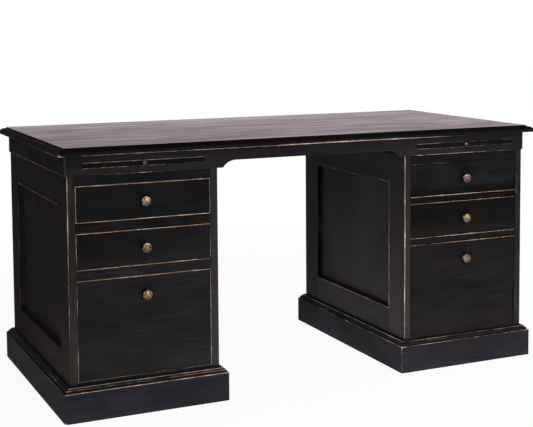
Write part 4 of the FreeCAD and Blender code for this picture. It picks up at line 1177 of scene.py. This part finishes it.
def make_room():
    """A white room, whose light is stronger from the right and from behind, and whose reflection darkens
    overhead."""
    world = bpy.data.worlds.new("white_room")
    bpy.context.scene.world = world
    world.use_nodes = True
    tree = world.node_tree
    tree.nodes.clear()
    part, _ = looked_at(tree)
    bright_side = (0.8, -0.45, 0.4)
    dim, bright, window, overhead = 0.03, 0.27, 0.42, 0.12
    way = node(tree, "ShaderNodeTexCoord").outputs["Generated"]
    parts = node(tree, "ShaderNodeSeparateXYZ", {0: way}).outputs
    facing = vector_maths(tree, "DOT_PRODUCT", way, bright_side, "Value")
    side = ramp(tree, facing, -0.9, 0.9, dim, bright)
    behind = ramp(tree, parts[1], 0.0, 0.9, 0.0, window)
    soft = glow(tree, "ShaderNodeBackground", maths(tree, "ADD", side, behind))
    white = glow(tree, "ShaderNodeBackground", ramp(tree, parts[2], 0.50, 0.95, 1.0, overhead))
    mixed = node(tree, "ShaderNodeMixShader", {0: part, 1: soft, 2: white}).outputs[0]
    node(tree, "ShaderNodeOutputWorld", {0: mixed})


def set_out(name, data, axes, place):
    """An object with its own three axes at a place."""
    made = bpy.data.objects.new(name, data)
    bpy.context.scene.collection.objects.link(made)
    rows = [[axis[k] for axis in axes] + [place[k]] for k in range(3)]
    made.matrix_world = Matrix(rows + [[0, 0, 0, 1]])
    return made


def make_lamp(name, place, target, size, power):
    """A square soft lamp turned to a target."""
    lamp = bpy.data.lights.new(name, "AREA")
    lamp.shape = "SQUARE"
    lamp.size = size
    lamp.energy = power
    back = np.subtract(place, target) / np.linalg.norm(np.subtract(place, target))
    right = np.cross((0, 0, 1), back)
    right /= np.linalg.norm(right)
    set_out(name, lamp, (right, np.cross(back, right), back), place)


def make_camera():
    """The camera: eye height 1.13 m, turned 26 degrees from straight on, at a slight downward tilt."""
    width, height = 533, 427
    focal_length = 1197.9
    axis_at = (320, 115)
    yaw, pitch, roll = math.radians(26.279), math.radians(4.561), math.radians(-0.196)
    ahead = np.array([math.sin(yaw) * math.cos(pitch), math.cos(yaw) * math.cos(pitch), -math.sin(pitch)])
    level = np.array([math.cos(yaw), -math.sin(yaw), 0])
    up = np.cross(level, ahead)
    right = math.cos(roll) * level + math.sin(roll) * up
    upward = -math.sin(roll) * level + math.cos(roll) * up
    camera = bpy.data.cameras.new("camera")
    camera.sensor_width = 36
    camera.lens = 36 * focal_length / width
    camera.shift_x = (width / 2 - axis_at[0]) / width
    camera.shift_y = (axis_at[1] - height / 2) / width
    bpy.context.scene.camera = set_out("camera", camera, (right, upward, -ahead), (-1.6022, -3.6498, 1.1335))


make_floor()
make_room()
make_lamp("key_lamp", (2.6, -3.2, 1.7), (0.1, 0, 0.4), 0.7, 16)
make_lamp("front_lamp", (-0.2, -2.6, 3.0), (0.0, -0.4, 0.4), 1.2, 26)
make_lamp("top_lamp", (1.5, -0.8, 3.3), (0.5, -0.2, 0), 2.4, 51)
make_camera()
bpy.context.scene.view_settings.view_transform = "Standard"
